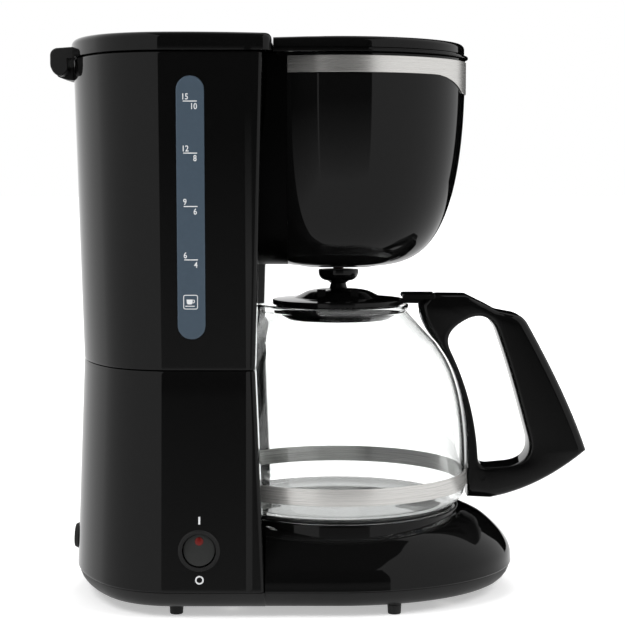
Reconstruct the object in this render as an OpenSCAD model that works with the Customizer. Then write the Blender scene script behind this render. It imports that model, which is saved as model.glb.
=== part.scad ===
// Drip coffee maker: water tank column at the back, swing-out filter holder
// over a heated plate, and a glass carafe that slides out to the front.
// Millimetres, +Z up, +X to the front. Modules draw about the carafe's axis.

/* [Column] */
// Half of the column's width at its waist, where tank and lower housing meet
waist_half_w = 82; // [78:1:88]
// How far the waist reaches behind the carafe axis
waist_rear = 148; // [140:1:156]
// How far behind the carafe axis the column's front edges stand at the waist
waist_front = 46; // [42:1:50]
// Radius of the rounded rear corners in plan
corner_r = 45; // [36:1:50]
// Radius of the bowed rear wall in plan
rear_r = 110; // [100:1:130]
// How much the outline grows from the waist up to the rim of the tank
rim_grow = 4.5; // [2:0.5:6]
// How much the outline grows from the waist down to the foot of the housing
foot_grow = 5; // [2:0.5:7]
// Height of the waist seam
seam_z = 135.5; // [125:0.5:145]
// Height of the tank's rim
rim_z = 306; // [290:1:315]
// Wall of the moulded housings
wall = 2.5; // [2:0.1:3.2]
// Radius of the bay that the column leaves free for the carafe
bay_r = 78; // [77.5:0.5:80]

/* [Tank lid] */
// Height of the lid's crown over its lower edge
lid_crown = 12; // [10:0.5:14]
// Radius that the lid's top is domed with
lid_dome_r = 1600; // [1200:50:2400]
// How far the lid's edge stands out over the tank
lid_lip = 1; // [0.5:0.1:1.6]
// How far behind the tank's rear wall the hinge axis lies
hinge_back = 5.5; // [5:0.1:7]
// Radius of the hinge pin
hinge_pin_r = 1.5; // [1:0.1:2]
// Half of the lid hinge's width, over its lugs
bracket_half_w = 26; // [22:1:32]
// How far the hinge axis lies below the tank's rim
hinge_drop = 7; // [6:0.5:9]

/* [Level gauge] */
// Width of the gauge window
gauge_w = 15; // [12:0.5:18]
// Lower end of the gauge window
gauge_low = 152.5; // [148:0.5:160]
// Upper end of the gauge window
gauge_high = 293; // [270:1:295]
// Distance of the gauge's middle behind the carafe axis
gauge_back = 80; // [74:1:88]

/* [Base] */
// Reach of the base's nose in front of the carafe axis
nose_reach = 102; // [98:1:106]
// Half of the base's width
base_half_w = 86; // [82:1:87]
// Height of the base's flat top
base_top = 46; // [42:0.5:48]
// Lower edge of the housings, where the bottom plate begins
shell_low = 15; // [12:0.5:18]
// Underside of the bottom plate
plate_low = 5.5; // [4:0.5:8]
// Radius of a foot
foot_r = 3.9; // [3:0.1:6]
// Half of the distance between the left and right feet
foot_y = 72; // [60:1:74]
// Distance of the rear feet behind the carafe axis
foot_rear = 90; // [80:1:110]
// Distance of the front feet in front of the carafe axis
foot_front = 30; // [20:1:50]

/* [Hot plate] */
// Radius of the hot plate
plate_r = 66; // [62:0.5:68]
// Radius of the raised ring round the hot plate
plinth_r = 70.5; // [69.5:0.5:73]
// Height of the hot plate's top
plate_top = 50; // [49:0.5:52]
// Radius of the heater loop
heater_loop_r = 44; // [38:1:48]
// Radius of the heater's tube
heater_r = 5.5; // [4.5:0.1:6]

/* [Head] */
// Radius of the filter holder at its rim
head_r = 73; // [70:0.5:75]
// Height of the filter holder's rim
head_rim = 306; // [300:1:312]
// Underside of the filter holder
head_low = 188; // [186:0.5:196]
// Distance behind the carafe axis of the face that the holder closes against
part_x = 29; // [24:1:34]
// Height of the head cover at its middle
cover_top_z = 317.5; // [315:0.5:320]
// Radius that the head cover's top is domed with
cover_dome_r = 1000; // [800:50:2000]
// Wall of the filter holder
holder_wall = 2.4; // [2:0.1:3]
// Height of the steel band on the holder
band_h = 9; // [7:0.5:12]
// How far the steel band dips at the front
band_dip = 9; // [6:0.5:12]
// Radius of the holder's hinge pin
swing_pin_r = 2; // [1.5:0.1:2.5]

/* [Carafe] */
// Largest outer radius of the glass
glass_r = 74.5; // [72:0.1:74.5]
// Height of the glass from its foot to its rim
glass_h = 115; // [112:0.5:116]
// Wall of the glass
glass_wall = 1.9; // [1.5:0.1:3]
// Inner radius of the glass at its neck
neck_r = 38; // [36:0.5:40]
// Width of the carafe handle
handle_w = 24; // [18:1:30]
// Height of the steel band round the glass
clamp_h = 9.5; // [8:0.5:11]
// How far the handle's tip stands in front of the carafe axis
handle_reach = 145; // [138:1:150]

/* [Switch] */
// Radius of the switch rocker
rocker_r = 9; // [7:0.5:10]
// Height of the switch
switch_z = 38; // [34:1:60]
// Distance of the switch behind the carafe axis
switch_back = 76.5; // [70:0.5:90]
// Tilt of the rocker to either side
rocker_tilt = 7; // [5:0.5:9]

/* [Fits] */
// Gap between a piece and its seat
seat_gap = 0.2; // [0.1:0.05:0.3]
// Gap between pieces of bodies that move past each other
move_gap = 0.4; // [0.3:0.1:0.8]
// Radial clearance of a pin in its bore
pin_fit = 0.1; // [0.05:0.01:0.15]
// Radius of the cord's way through the gland
cord_r = 3.6; // [3:0.1:4.5]

/* [Hidden] */

$fn = 96;
eps = 0.01;
// Thickness of the slabs that rounded forms are stretched between
slab = 0.2;
// Reach of a cutting shape past the surface it cuts
over = 1;

// How far the lid's lugs reach behind the hinge axis
lug_back = 5.2;

// The machine's box is centred on the origin, so the carafe axis lies off it
bracket_back = hinge_back + lug_back;
rear_reach = waist_rear + rim_grow + bracket_back;
shift_x = (rear_reach - handle_reach) / 2;

// Top of the dish on the carafe's lid, just under the filter holder
dish_z = head_low - 2.2;

// Hoses slip over the heater's legs and over fittings of the same radius
hose_bore = heater_r + 0.1;
hose_skin = hose_bore + 1.9;

// Hinge axis of the tank lid
hinge_x = -(waist_rear + rim_grow + hinge_back);
hinge_z = rim_z - hinge_drop;

// Outline of the column at a height
function column_grow(z) = z > seam_z
    ? rim_grow * (z - seam_z) / (rim_z - seam_z)
    : foot_grow * (seam_z - z) / (seam_z - shell_low);
wall_lean_up = atan(rim_grow / (rim_z - seam_z));
wall_lean_down = atan(foot_grow / (seam_z - shell_low));

// Points on a quadratic curve from a to c that leaves and arrives towards b
function bow(a, b, c, steps = 8) = [
    for (i = [0 : steps]) let (t = i / steps)
        a * (1 - t) * (1 - t) + b * 2 * t * (1 - t) + c * t * t
];

module placed() {
    translate([shift_x, 0, 0]) children();
}

// Round block under a shallow dome whose crown lies at the origin
module dome_cap(dome_r, reach, depth = 30, steps = 6) {
    rotate_extrude() polygon(concat(
        [[0, -depth], [reach, -depth]],
        [for (i = [steps : -1 : 0]) let (x = reach * i / steps) [x, sqrt(dome_r * dome_r - x * x) - dome_r]]
    ));
}

// Half-plane cutter: everything with x below x_max
module behind(x_max, low, high, half = 200) {
    translate([x_max - 2 * half, -half, low]) cube([2 * half, 2 * half, high - low]);
}

// ---- Column ----

// Plan of the column, grown all round by `grow`: straight flanks, rounded rear
// corners and a bowed rear wall that meets the corners without a kink
module column_plan(grow = 0) {
    rear_x = -waist_rear + rear_r;
    rise = waist_half_w - corner_r;
    corner_x = rear_x - sqrt(pow(rear_r - corner_r, 2) - pow(rise, 2));
    bow_angle = atan2(rise, rear_x - corner_x);
    half = waist_half_w + grow;
    reach = 2 * rear_r;
    union() {
        translate([corner_x, -half]) square([-waist_front + grow - corner_x, 2 * half]);
        for (side = [-1, 1]) translate([corner_x, side * rise]) circle(corner_r + grow);
        intersection() {
            translate([rear_x, 0]) circle(rear_r + grow);
            polygon([
                [corner_x, rise],
                [rear_x - reach, reach * tan(bow_angle)],
                [rear_x - reach, -reach * tan(bow_angle)],
                [corner_x, -rise]
            ]);
        }
    }
}

module column_slab(z, grow) {
    translate([0, 0, z]) linear_extrude(slab) column_plan(grow);
}

// Solid column between two heights, its flanks following the waisted outline
module column_block(low, high, inset = 0) {
    hull() {
        column_slab(low, column_grow(low) - inset);
        column_slab(high - slab, column_grow(high) - inset);
    }
}

// The bay that the carafe stands in
module bay(low, high, extra = 0) {
    translate([0, 0, low]) cylinder(r = bay_r + extra, h = high - low);
}

riser_r = 3.5;
riser_x = -(bay_r + wall + hose_skin + 0.5);
// The pipe crosses into the head below both rims
crossing_z = min(rim_z, head_rim) - 8;
outlet_y = 24;
outlet_x = -112;
tank_floor = seam_z + 4;

module tank_shell() {
    color([0.05, 0.05, 0.055]) placed() difference() {
        column_block(seam_z + seat_gap, rim_z);
        bay(seam_z - over, rim_z + over);
        difference() {
            column_block(tank_floor, rim_z + over, wall);
            bay(tank_floor - over, rim_z + 2 * over, wall);
        }
        gauge_slot(gauge_w / 2 + seat_gap);
        // Ways for the riser, the outlet fitting and the crossing pipe
        translate([riser_x, 0, seam_z - over]) cylinder(r = riser_r + seat_gap, h = 10);
        translate([outlet_x, outlet_y, seam_z - over]) cylinder(r = 7 + seat_gap, h = 10);
        translate([riser_x, 0, crossing_z]) rotate([0, 90, 0])
            cylinder(r = riser_r + seat_gap, h = 20);
    }
}

// Upright slot with round ends, square to the leaning flank
module gauge_slot(r) {
    depth = 12;
    mid_z = (gauge_low + gauge_high) / 2;
    flank_y = waist_half_w + column_grow(mid_z);
    half_h = (gauge_high - gauge_low) / 2 - gauge_w / 2;
    translate([-gauge_back, -flank_y, mid_z]) rotate([wall_lean_up, 0, 0]) {
        for (end = [-1, 1]) translate([0, 0, end * half_h]) rotate([90, 0, 0])
            cylinder(r = r, h = depth, center = true);
        cube([2 * r, depth, 2 * half_h], center = true);
    }
}

module level_gauge() {
    proud = 0.5;
    backing = 1.2;
    color([0.27, 0.33, 0.39, 0.8]) placed() intersection() {
        gauge_slot(gauge_w / 2);
        difference() {
            column_block(gauge_low - over, gauge_high + over, -proud);
            column_block(gauge_low - 2 * over, gauge_high + 2 * over, wall + backing);
        }
    }
}

// ---- Tank lid and its hinge ----

knuckle_r = 4;
knuckle_half = 14;
lug_inner = knuckle_half + 0.5;

// Lid block: the column's plan under a wide dome
module lid_form(inset) {
    edge = rim_grow + lid_lip - inset;
    low = rim_z + move_gap - (inset > 0 ? over : 0);
    intersection() {
        translate([0, 0, low]) linear_extrude(lid_crown + 2 * over) column_plan(edge);
        translate([-(waist_rear + waist_front) / 2 + 12, 0, rim_z + move_gap + lid_crown - inset])
            dome_cap(lid_dome_r, 130);
    }
}

// Side view of a hinge lug, seen from the hinge axis: it hugs the pin below and
// runs up behind the tank's rim into the lid's rear edge
module lid_lug() {
    rim_up = hinge_drop + move_gap;
    reach = hinge_back - 0.8;
    circle(knuckle_r);
    polygon([
        [-knuckle_r, 0], [-lug_back, 2.5], [-lug_back, rim_up + 3.5], [-lug_back + 2, rim_up + 6],
        [hinge_back + 3.5, rim_up + 7], [hinge_back + 3.5, rim_up], [reach, rim_up], [reach - 0.8, 0]
    ]);
}

module tank_lid() {
    color([0.05, 0.05, 0.055]) placed() difference() {
        union() {
            difference() {
                lid_form(0);
                lid_form(wall);
            }
            for (side = [-1, 1]) translate([hinge_x, side * (lug_inner + bracket_half_w) / 2, hinge_z])
                rotate([90, 0, 0]) linear_extrude(bracket_half_w - lug_inner, center = true) lid_lug();
        }
        translate([hinge_x, 0, hinge_z]) rotate([90, 0, 0])
            cylinder(r = hinge_pin_r + pin_fit, h = 4 * bracket_half_w, center = true);
    }
}

module lid_hinge_pin() {
    color("silver") placed() translate([hinge_x, 0, hinge_z]) rotate([90, 0, 0])
        cylinder(r = hinge_pin_r, h = 2 * bracket_half_w - 2, center = true);
}

// Knuckle between the lid's lugs, on a foot that is screwed to the tank's rear wall
module lid_hinge_bracket() {
    foot_h = 15;
    color([0.12, 0.12, 0.13]) placed() difference() {
        union() {
            translate([hinge_x, 0, hinge_z]) rotate([90, 0, 0])
                cylinder(r = knuckle_r, h = 2 * knuckle_half, center = true);
            translate([hinge_x, -knuckle_half, hinge_z - 3]) cube([hinge_back + 2, 2 * knuckle_half, 5]);
            translate([hinge_x + hinge_back - 2.4, -knuckle_half, hinge_z - foot_h])
                cube([4, 2 * knuckle_half, foot_h + 2]);
        }
        translate([hinge_x, 0, hinge_z]) rotate([90, 0, 0])
            cylinder(r = hinge_pin_r + 0.02, h = 4 * knuckle_half, center = true);
        // Face that follows the tank's rear wall
        column_block(seam_z, rim_z, -seat_gap);
    }
}

// ---- Lower housing ----

gland_z = 28;

// Way for pipes and leads from the column into the base
module service_way() {
    low = shell_low + wall;
    translate([-bay_r - 10, -service_half_w, low])
        cube([60, 2 * service_half_w, base_top - 2 * wall + seat_gap - low]);
}

module lower_housing() {
    color([0.05, 0.05, 0.055]) placed() difference() {
        column_block(shell_low, seam_z);
        bay(shell_low - over, seam_z + over);
        difference() {
            column_block(shell_low - over, seam_z - wall, wall);
            bay(shell_low - 2 * over, seam_z, wall);
        }
        service_way();
        // Holes for the tank's outlet and the riser
        translate([outlet_x, outlet_y, seam_z - 10]) cylinder(r = 8, h = 20);
        translate([riser_x, 0, seam_z - 10]) cylinder(r = riser_r + 2.5, h = 20);
        switch_axis() cylinder(r = rocker_r + 1.2 + seat_gap, h = 20, center = true);
        gland_axis() cylinder(r = 6 + seat_gap, h = 30, center = true);
    }
}

// Local frame of the switch: +Z points out of the leaning left flank
module switch_axis() {
    flank_y = waist_half_w + column_grow(switch_z);
    translate([-switch_back, -flank_y, switch_z]) rotate([90 - wall_lean_down, 0, 0]) children();
}

// Local frame of the cord's gland: +Z points out of the rear wall
module gland_axis() {
    translate([-waist_rear - column_grow(gland_z), 0, gland_z]) rotate([0, wall_lean_down - 90, 0]) children();
}

module cord_gland() {
    color([0.12, 0.12, 0.13]) placed() gland_axis() difference() {
        union() {
            translate([0, 0, -wall - 3]) cylinder(r = 6, h = wall + 3);
            translate([0, 0, seat_gap]) cylinder(r1 = 8, r2 = 6.6, h = 2.8);
            translate([0, 0, -eps]) cylinder(r = 6, h = seat_gap + 2 * eps);
            translate([0, 0, -wall - 3]) cylinder(r = 7.6, h = 2);
        }
        translate([0, 0, -wall - 4]) cylinder(r = cord_r, h = wall + 9);
    }
}

// ---- Switch ----

bezel_r = rocker_r + 1.2;
rocker_drop = 2.7;

module switch_bezel() {
    color([0.1, 0.1, 0.1]) placed() switch_axis() difference() {
        union() {
            translate([0, 0, -12]) cylinder(r = bezel_r, h = 12 + seat_gap);
            translate([0, 0, seat_gap]) cylinder(r1 = bezel_r + 1.2, r2 = bezel_r + 0.4, h = 0.9);
        }
        translate([0, 0, -10]) cylinder(r = rocker_r + move_gap / 2, h = 12);
        rotate([0, 90, 0]) translate([rocker_drop, 0, 0])
            cylinder(r = 1 + pin_fit, h = 2 * rocker_r + 1.6, center = true);
    }
}

// Round rocker with a shallow valley across its face, turning on two stub pins
module switch_rocker() {
    color([0.19, 0.19, 0.19]) placed() switch_axis() difference() {
        translate([0, 0, -rocker_drop]) rotate([-rocker_tilt, 0, 0]) difference() {
            union() {
                intersection() {
                    sphere(rocker_r);
                    translate([0, 0, -6]) cylinder(r = rocker_r, h = 12);
                    translate([0, 0, -3.5]) cylinder(r = rocker_r, h = 7);
                }
                rotate([0, 90, 0]) cylinder(r = 1, h = 2 * rocker_r + 1, center = true);
            }
            // Valley: each half of the face leans by the tilt
            for (side = [-1, 1]) rotate([side * rocker_tilt, 0, 0])
                translate([-20, side > 0 ? 0 : -40, 1.6]) cube([40, 40, 10]);
            lens_seat(3.2);
        }
    }
}

module lens_seat(r) {
    translate([0, rocker_r * 0.52, 0]) cylinder(r = r, h = 6);
}

module switch_lens() {
    color([0.6, 0.05, 0.04]) placed() switch_axis()
        translate([0, 0, -rocker_drop]) rotate([-rocker_tilt, 0, 0]) intersection() {
            translate([0, 0, seat_gap]) lens_seat(3.2 - seat_gap / 2);
            translate([0, rocker_r * 0.52, -3.6]) sphere(6.2);
        }
}

// ---- Base ----

// The base begins just in front of the column's flared foot
base_rear_x = -waist_front + foot_grow + seat_gap;

// Plan of the base in front of the column: an oval nose running into flat flanks
module base_plan(inset) {
    reach = nose_reach - inset;
    half = base_half_w - inset * 0.95;
    union() {
        scale([reach / half, 1]) intersection() {
            circle(half);
            translate([0, -half]) square([half, 2 * half]);
        }
        translate([base_rear_x, -half]) square([eps - base_rear_x, 2 * half]);
    }
}

// Heights and insets that the base's flank runs through, from edge to flat top
base_steps = [[0, 0], [8, 1], [15, 5], [21, 10.5], [26, 16.5], [29, 22], [31, 27]];

module base_form(inset) {
    lift = (base_top - shell_low) / 31;
    hull() for (s = base_steps) translate([0, 0, shell_low + s[0] * lift - (s[0] > 0 ? inset : over * min(inset, 1))])
        linear_extrude(eps) base_plan(s[1] + inset);
}

module base_cover() {
    round_r = bay_r - seat_gap;
    well_r = plate_r + 1.5;
    color([0.05, 0.05, 0.055]) placed() difference() {
        union() {
            base_form(0);
            intersection() {
                translate([0, 0, shell_low]) cylinder(r = round_r, h = base_top - shell_low);
                behind(base_rear_x + over, 0, 100);
            }
            // Plinth that stands out of the dome round the plate
            translate([0, 0, base_top - 12]) cylinder(r = plinth_r, h = 13.2);
            translate([0, 0, base_top + 1.2 - eps]) cylinder(r1 = plinth_r, r2 = plinth_r - 0.8, h = plate_top - 2.6 - base_top);
        }
        base_form(wall);
        intersection() {
            translate([0, 0, shell_low - over]) cylinder(r = round_r - wall, h = base_top - shell_low - wall + over);
            behind(base_rear_x + wall + 2 * over, 0, 100);
        }
        translate([0, 0, base_top - 20]) cylinder(r = well_r, h = 30);
        service_way();
    }
}

module bottom_outline(inset) {
    union() {
        column_plan(foot_grow - inset);
        base_plan(inset);
        circle(bay_r - 1);
        translate([base_rear_x - 20, inset - waist_half_w]) square([40, 2 * (waist_half_w - inset)]);
    }
}

module bottom_plate() {
    rim = 2.2;
    lip_inset = 3;
    color([0.09, 0.09, 0.095]) placed() difference() {
        union() {
            translate([0, 0, plate_low]) linear_extrude(shell_low - seat_gap - plate_low)
                bottom_outline(lip_inset);
            for (x = [-foot_rear, foot_front], side = [-1, 1])
                translate([x, side * foot_y, plate_low]) cylinder(r = foot_r + 2.2, h = 6);
        }
        translate([0, 0, plate_low + rim]) linear_extrude(20) bottom_outline(lip_inset + rim);
        for (x = [-foot_rear, foot_front], side = [-1, 1])
            translate([x, side * foot_y, plate_low - over]) cylinder(r = foot_r - 1 + seat_gap, h = over + 3.2);
        // Cooling slots under the hot plate
        for (i = [-3 : 3]) translate([-30, i * 9 - 2, plate_low - over]) cube([60, 4, 20]);
        for (p = screw_places) translate([p[0], p[1], plate_low - over]) cylinder(r = 2.1, h = 20);
    }
}

screw_places = [[-130, 0], [-60, 62], [-60, -62], [60, 52], [60, -52]];

module feet() {
    color([0.1, 0.1, 0.1]) placed() for (x = [-foot_rear, foot_front], side = [-1, 1])
        translate([x, side * foot_y, 0]) {
            cylinder(r1 = foot_r - 0.3, r2 = foot_r, h = plate_low - seat_gap);
            cylinder(r = foot_r - 1, h = plate_low + 3);
        }
}

module bottom_screws() {
    color("silver") placed() for (p = screw_places) translate([p[0], p[1], plate_low - 1.8]) {
        difference() {
            cylinder(r = 3.6, h = 1.6);
            cylinder(r = 1.4, h = 1, $fn = 6);
        }
        cylinder(r = 1.9, h = 10);
    }
}

// ---- Heating ----

heater_z = plate_top - 2 - heater_r - 0.1;
// The heater's straight legs run back into the column
leg_x = -54;
pipe_z = 31;
leg_y = heater_loop_r;
// Half of the width of the way that pipes and leads take into the base
service_half_w = heater_loop_r + heater_r + 3;

module hot_plate() {
    color([0.16, 0.16, 0.16]) placed() difference() {
        union() {
            translate([0, 0, plate_top - 2]) cylinder(r = plate_r, h = 1.2);
            translate([0, 0, plate_top - 0.8 - eps]) cylinder(r1 = plate_r, r2 = plate_r - 1, h = 0.8 + eps);
        }
        // Shallow dish that centres the carafe
        translate([0, 0, plate_top - 0.5]) cylinder(r = plate_r - 12, h = 2);
    }
}

module hot_plate_seal() {
    color([0.1, 0.1, 0.1]) placed() difference() {
        translate([0, 0, plate_top - 4.2]) cylinder(r = plate_r + 1.3, h = 3.2);
        translate([0, 0, plate_top - 5]) cylinder(r = plate_r - 3, h = 6);
        translate([0, 0, plate_top - 2 - eps]) cylinder(r = plate_r + 0.05, h = 6);
    }
}

module tube_between(a, b, r) {
    d = b - a;
    len = norm(d);
    translate(a) rotate([0, acos(d[2] / len), atan2(d[1], d[0])]) cylinder(r = r, h = len, $fn = 48);
}

module tube_run(points, r) {
    for (i = [0 : len(points) - 2]) tube_between(points[i], points[i + 1], r);
    for (i = [1 : len(points) - 2]) translate(points[i]) sphere(r, $fn = 48);
}

// Horseshoe tube: half a turn under the plate, then two legs that drop and run back
module heating_element() {
    module horseshoe(r) {
        translate([0, 0, heater_z]) rotate([0, 0, -90]) rotate_extrude(angle = 180)
            translate([heater_loop_r, 0]) circle(r, $fn = 48);
        for (side = [-1, 1]) tube_run([
            [0, side * leg_y, heater_z],
            [-18, side * leg_y, heater_z],
            [-40, side * leg_y, pipe_z],
            [leg_x, side * leg_y, pipe_z]
        ], r);
    }
    color([0.7, 0.7, 0.72]) placed() difference() {
        horseshoe(heater_r);
        for (side = [-1, 1]) tube_between([leg_x - over, side * leg_y, pipe_z],
            [leg_x + 10, side * leg_y, pipe_z], heater_r - 1.5);
    }
}

// Saddles that press the heater up against the plate
module heater_clips() {
    color("silver") placed() for (a = [-60, 0, 60]) rotate([0, 0, a]) difference() {
        translate([heater_loop_r - heater_r - 3, -5, heater_z - heater_r - 1.4])
            cube([2 * heater_r + 6, 10, 2 * heater_r + 1]);
        rotate_extrude() translate([heater_loop_r, 0]) union() {
            translate([0, heater_z]) circle(heater_r + seat_gap, $fn = 48);
            translate([-heater_r - seat_gap, heater_z]) square([2 * (heater_r + seat_gap), 20]);
        }
    }
}

module thermostat() {
    color([0.75, 0.72, 0.65]) placed() translate([14, 0, plate_top - 2 - 0.1]) {
        translate([0, 0, -3]) cylinder(r = 8, h = 3);
        translate([0, 0, -12]) cylinder(r = 6.5, h = 9.5);
        for (side = [-1, 1]) translate([-3, side * 4 - 0.4, -18]) cube([6, 0.8, 7]);
    }
}

module thermal_fuse() {
    color([0.8, 0.8, 0.75]) placed() translate([-14, 0, plate_top - 2 - 3.1]) rotate([90, 0, 0]) {
        cylinder(r = 3, h = 16, center = true);
        cylinder(r = 0.6, h = 30, center = true);
    }
}

// ---- Water path ----

module tank_outlet() {
    color([0.85, 0.85, 0.82]) placed() translate([outlet_x, outlet_y, 0]) difference() {
        union() {
            translate([0, 0, tank_floor + seat_gap]) cylinder(r = 10, h = 2.5);
            translate([0, 0, seam_z - 12]) cylinder(r = 7, h = tank_floor - seam_z + 13);
            translate([0, 0, seam_z - 26]) cylinder(r = heater_r, h = 15);
        }
        translate([0, 0, seam_z - 27]) cylinder(r = 2.6, h = 20);
        translate([0, 0, seam_z - 9]) cylinder(r = 4.6, h = 30);
    }
}

module valve_ball() {
    ball_r = 4;
    color([0.9, 0.9, 0.9]) placed() translate([outlet_x, outlet_y, seam_z - 9 + ball_r + 0.1]) sphere(ball_r, $fn = 48);
}

// Hose routes, from the tank to the heater and from the heater to the riser
hose_sides = 10;
inlet_route = [
    [outlet_x, outlet_y, seam_z - 16],
    [outlet_x, outlet_y, pipe_z],
    [outlet_x, leg_y, pipe_z],
    [leg_x + 8, leg_y, pipe_z]
];
outlet_route = [
    [leg_x + 8, -leg_y, pipe_z],
    [riser_x - 2, -leg_y, pipe_z],
    [riser_x - 2, -leg_y, pipe_z + 44],
    [riser_x, 0, pipe_z + 66],
    [riser_x, 0, seam_z - 12]
];

function unit(v) = v / norm(v);

// Route with its corners rounded into curves that start `cut` before them
function rounded_route(p, cut, steps = 4) = [
    p[0],
    for (i = [1 : len(p) - 2]) each bow(
        p[i] + unit(p[i - 1] - p[i]) * cut, p[i], p[i] + unit(p[i + 1] - p[i]) * cut, steps),
    p[len(p) - 1]
];

function way_at(p, i) = unit(p[min(i + 1, len(p) - 1)] - p[max(i - 1, 0)]);

// Side direction carried along the route without twist
function sides_along(p, i = 0, last = [0, 0, 0]) = i >= len(p) ? [] : let (
        way = way_at(p, i),
        from = norm(last) > 0 ? last : (abs(way[2]) > 0.9 ? [1, 0, 0] : [0, 0, 1]),
        side = unit(from - way * (from * way))
    ) concat([side], sides_along(p, i + 1, side));

// Hollow tube along a route: outer and inner skin joined by a ring at each end
module swept_tube(route, outer, inner, sides) {
    turns = sides_along(route);
    rings = len(route);
    ring = function(i, r) [for (k = [0 : sides - 1])
        let (way = way_at(route, i), u = turns[i], v = cross(way, u))
        route[i] + r * (u * cos(360 * k / sides) + v * sin(360 * k / sides))];
    skins = [for (i = [0 : rings - 1]) each ring(i, outer), for (i = [0 : rings - 1]) each ring(i, inner)];
    at = function(skin, i, k) skin * rings * sides + i * sides + (k % sides);
    faces = [
        for (i = [0 : rings - 2], k = [0 : sides - 1]) [at(0, i, k), at(0, i + 1, k), at(0, i + 1, k + 1), at(0, i, k + 1)],
        for (i = [0 : rings - 2], k = [0 : sides - 1]) [at(1, i, k), at(1, i, k + 1), at(1, i + 1, k + 1), at(1, i + 1, k)],
        for (k = [0 : sides - 1]) [at(0, 0, k), at(0, 0, k + 1), at(1, 0, k + 1), at(1, 0, k)],
        for (k = [0 : sides - 1]) [at(0, rings - 1, k), at(1, rings - 1, k), at(1, rings - 1, k + 1), at(0, rings - 1, k + 1)]
    ];
    polyhedron(skins, faces);
}

// Solid wire along a route
module swept_rod(route, r, sides) {
    turns = sides_along(route);
    rings = len(route);
    points = [for (i = [0 : rings - 1], k = [0 : sides - 1])
        let (way = way_at(route, i), u = turns[i], v = cross(way, u))
        route[i] + r * (u * cos(360 * k / sides) + v * sin(360 * k / sides))];
    faces = [
        for (i = [0 : rings - 2], k = [0 : sides - 1]) let (n = (k + 1) % sides)
            [i * sides + k, (i + 1) * sides + k, (i + 1) * sides + n, i * sides + n],
        [for (k = [0 : sides - 1]) k],
        [for (k = [sides - 1 : -1 : 0]) (rings - 1) * sides + k]
    ];
    polyhedron(points, faces);
}

module inlet_hose() {
    color([0.75, 0.75, 0.72]) placed() swept_tube(rounded_route(inlet_route, 14), hose_skin, hose_bore + 0.35, hose_sides);
}

module outlet_hose() {
    color([0.75, 0.75, 0.72]) placed() swept_tube(rounded_route(outlet_route, 9), hose_skin, hose_bore + 0.35, hose_sides);
}

cover_pipe_z = head_rim + riser_r + 0.9;
drop_x = -part_x - 6;

riser_route = [
    [riser_x, 0, seam_z - 23],
    [riser_x, 0, crossing_z],
    [drop_x, 0, crossing_z],
    [drop_x, 0, cover_pipe_z],
    [0, 0, cover_pipe_z]
];

module riser_tube() {
    color([0.85, 0.85, 0.82]) placed() difference() {
        union() {
            tube_run(riser_route, riser_r);
            translate([riser_x, 0, seam_z - 24]) cylinder(r = heater_r, h = 12);
        }
        tube_run(riser_route, riser_r - 1.2);
        translate([riser_x, 0, seam_z - 30]) cylinder(r = riser_r - 1.2, h = 20);
        translate([-2, 0, cover_pipe_z]) rotate([0, 90, 0]) cylinder(r = riser_r - 1.2, h = 20);
    }
}

// Star-shaped showerhead with a ring of drip holes
module spray_head() {
    low = head_rim + 1;
    color([0.1, 0.1, 0.1]) placed() difference() {
        union() {
            translate([0, 0, low]) cylinder(r = 26, h = 1.6);
            translate([3.2, 0, low + 1]) cylinder(r = 7, h = cover_pipe_z + riser_r - low - 1.2);
        }
        for (ring = [[8, 6], [16, 12], [22, 16]], i = [0 : ring[1] - 1]) rotate([0, 0, i * 360 / ring[1]])
            translate([ring[0] + 4, 0, low - over]) cylinder(r = 1, h = 8);
        translate([-30, 0, cover_pipe_z]) rotate([0, 90, 0]) cylinder(r = riser_r + 0.15, h = 31);
        translate([3.2, 0, low - over]) cylinder(r = 3, h = cover_pipe_z - low);
    }
}

// ---- Head ----

// Radius of the holder's outer skin at a height: steep flanks that turn in
// ever faster towards the flat underside
function bowl_r(z, inset = 0) = let (
        depth = head_rim - head_low - inset,
        t = min(max((head_rim - z) / depth, 0), 1)
    ) (head_r - inset) * pow(1 - pow(t, 2.4), 1 / 4.3);

// Heights that the skin is drawn at, closer together near the underside
function bowl_levels(inset, steps = 16) = [
    for (i = [0 : steps]) head_rim - (head_rim - head_low - inset) * sin(90 * i / steps)
];

module bowl_solid(inset = 0, top = head_rim) {
    levels = bowl_levels(inset);
    last = len(levels) - 1;
    flat_r = 22;
    rotate_extrude() polygon(concat(
        [[0, head_low + inset], [flat_r, head_low + inset]],
        [for (i = [last - 1 : -1 : 0]) [max(bowl_r(levels[i], inset), flat_r), levels[i]]],
        [[head_r - inset, top], [0, top]]
    ));
}

// The holder turns on a pin at the far corner of its closing face
swing_boss_r = swing_pin_r + 2;
swing_x = -part_x + swing_boss_r;
swing_y = sqrt(head_r * head_r - part_x * part_x) - swing_boss_r;
swing_low = head_rim - 26;
// Lower face of the ledge that a finger pulls the holder out by
finger_z = head_rim - 30;

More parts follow.
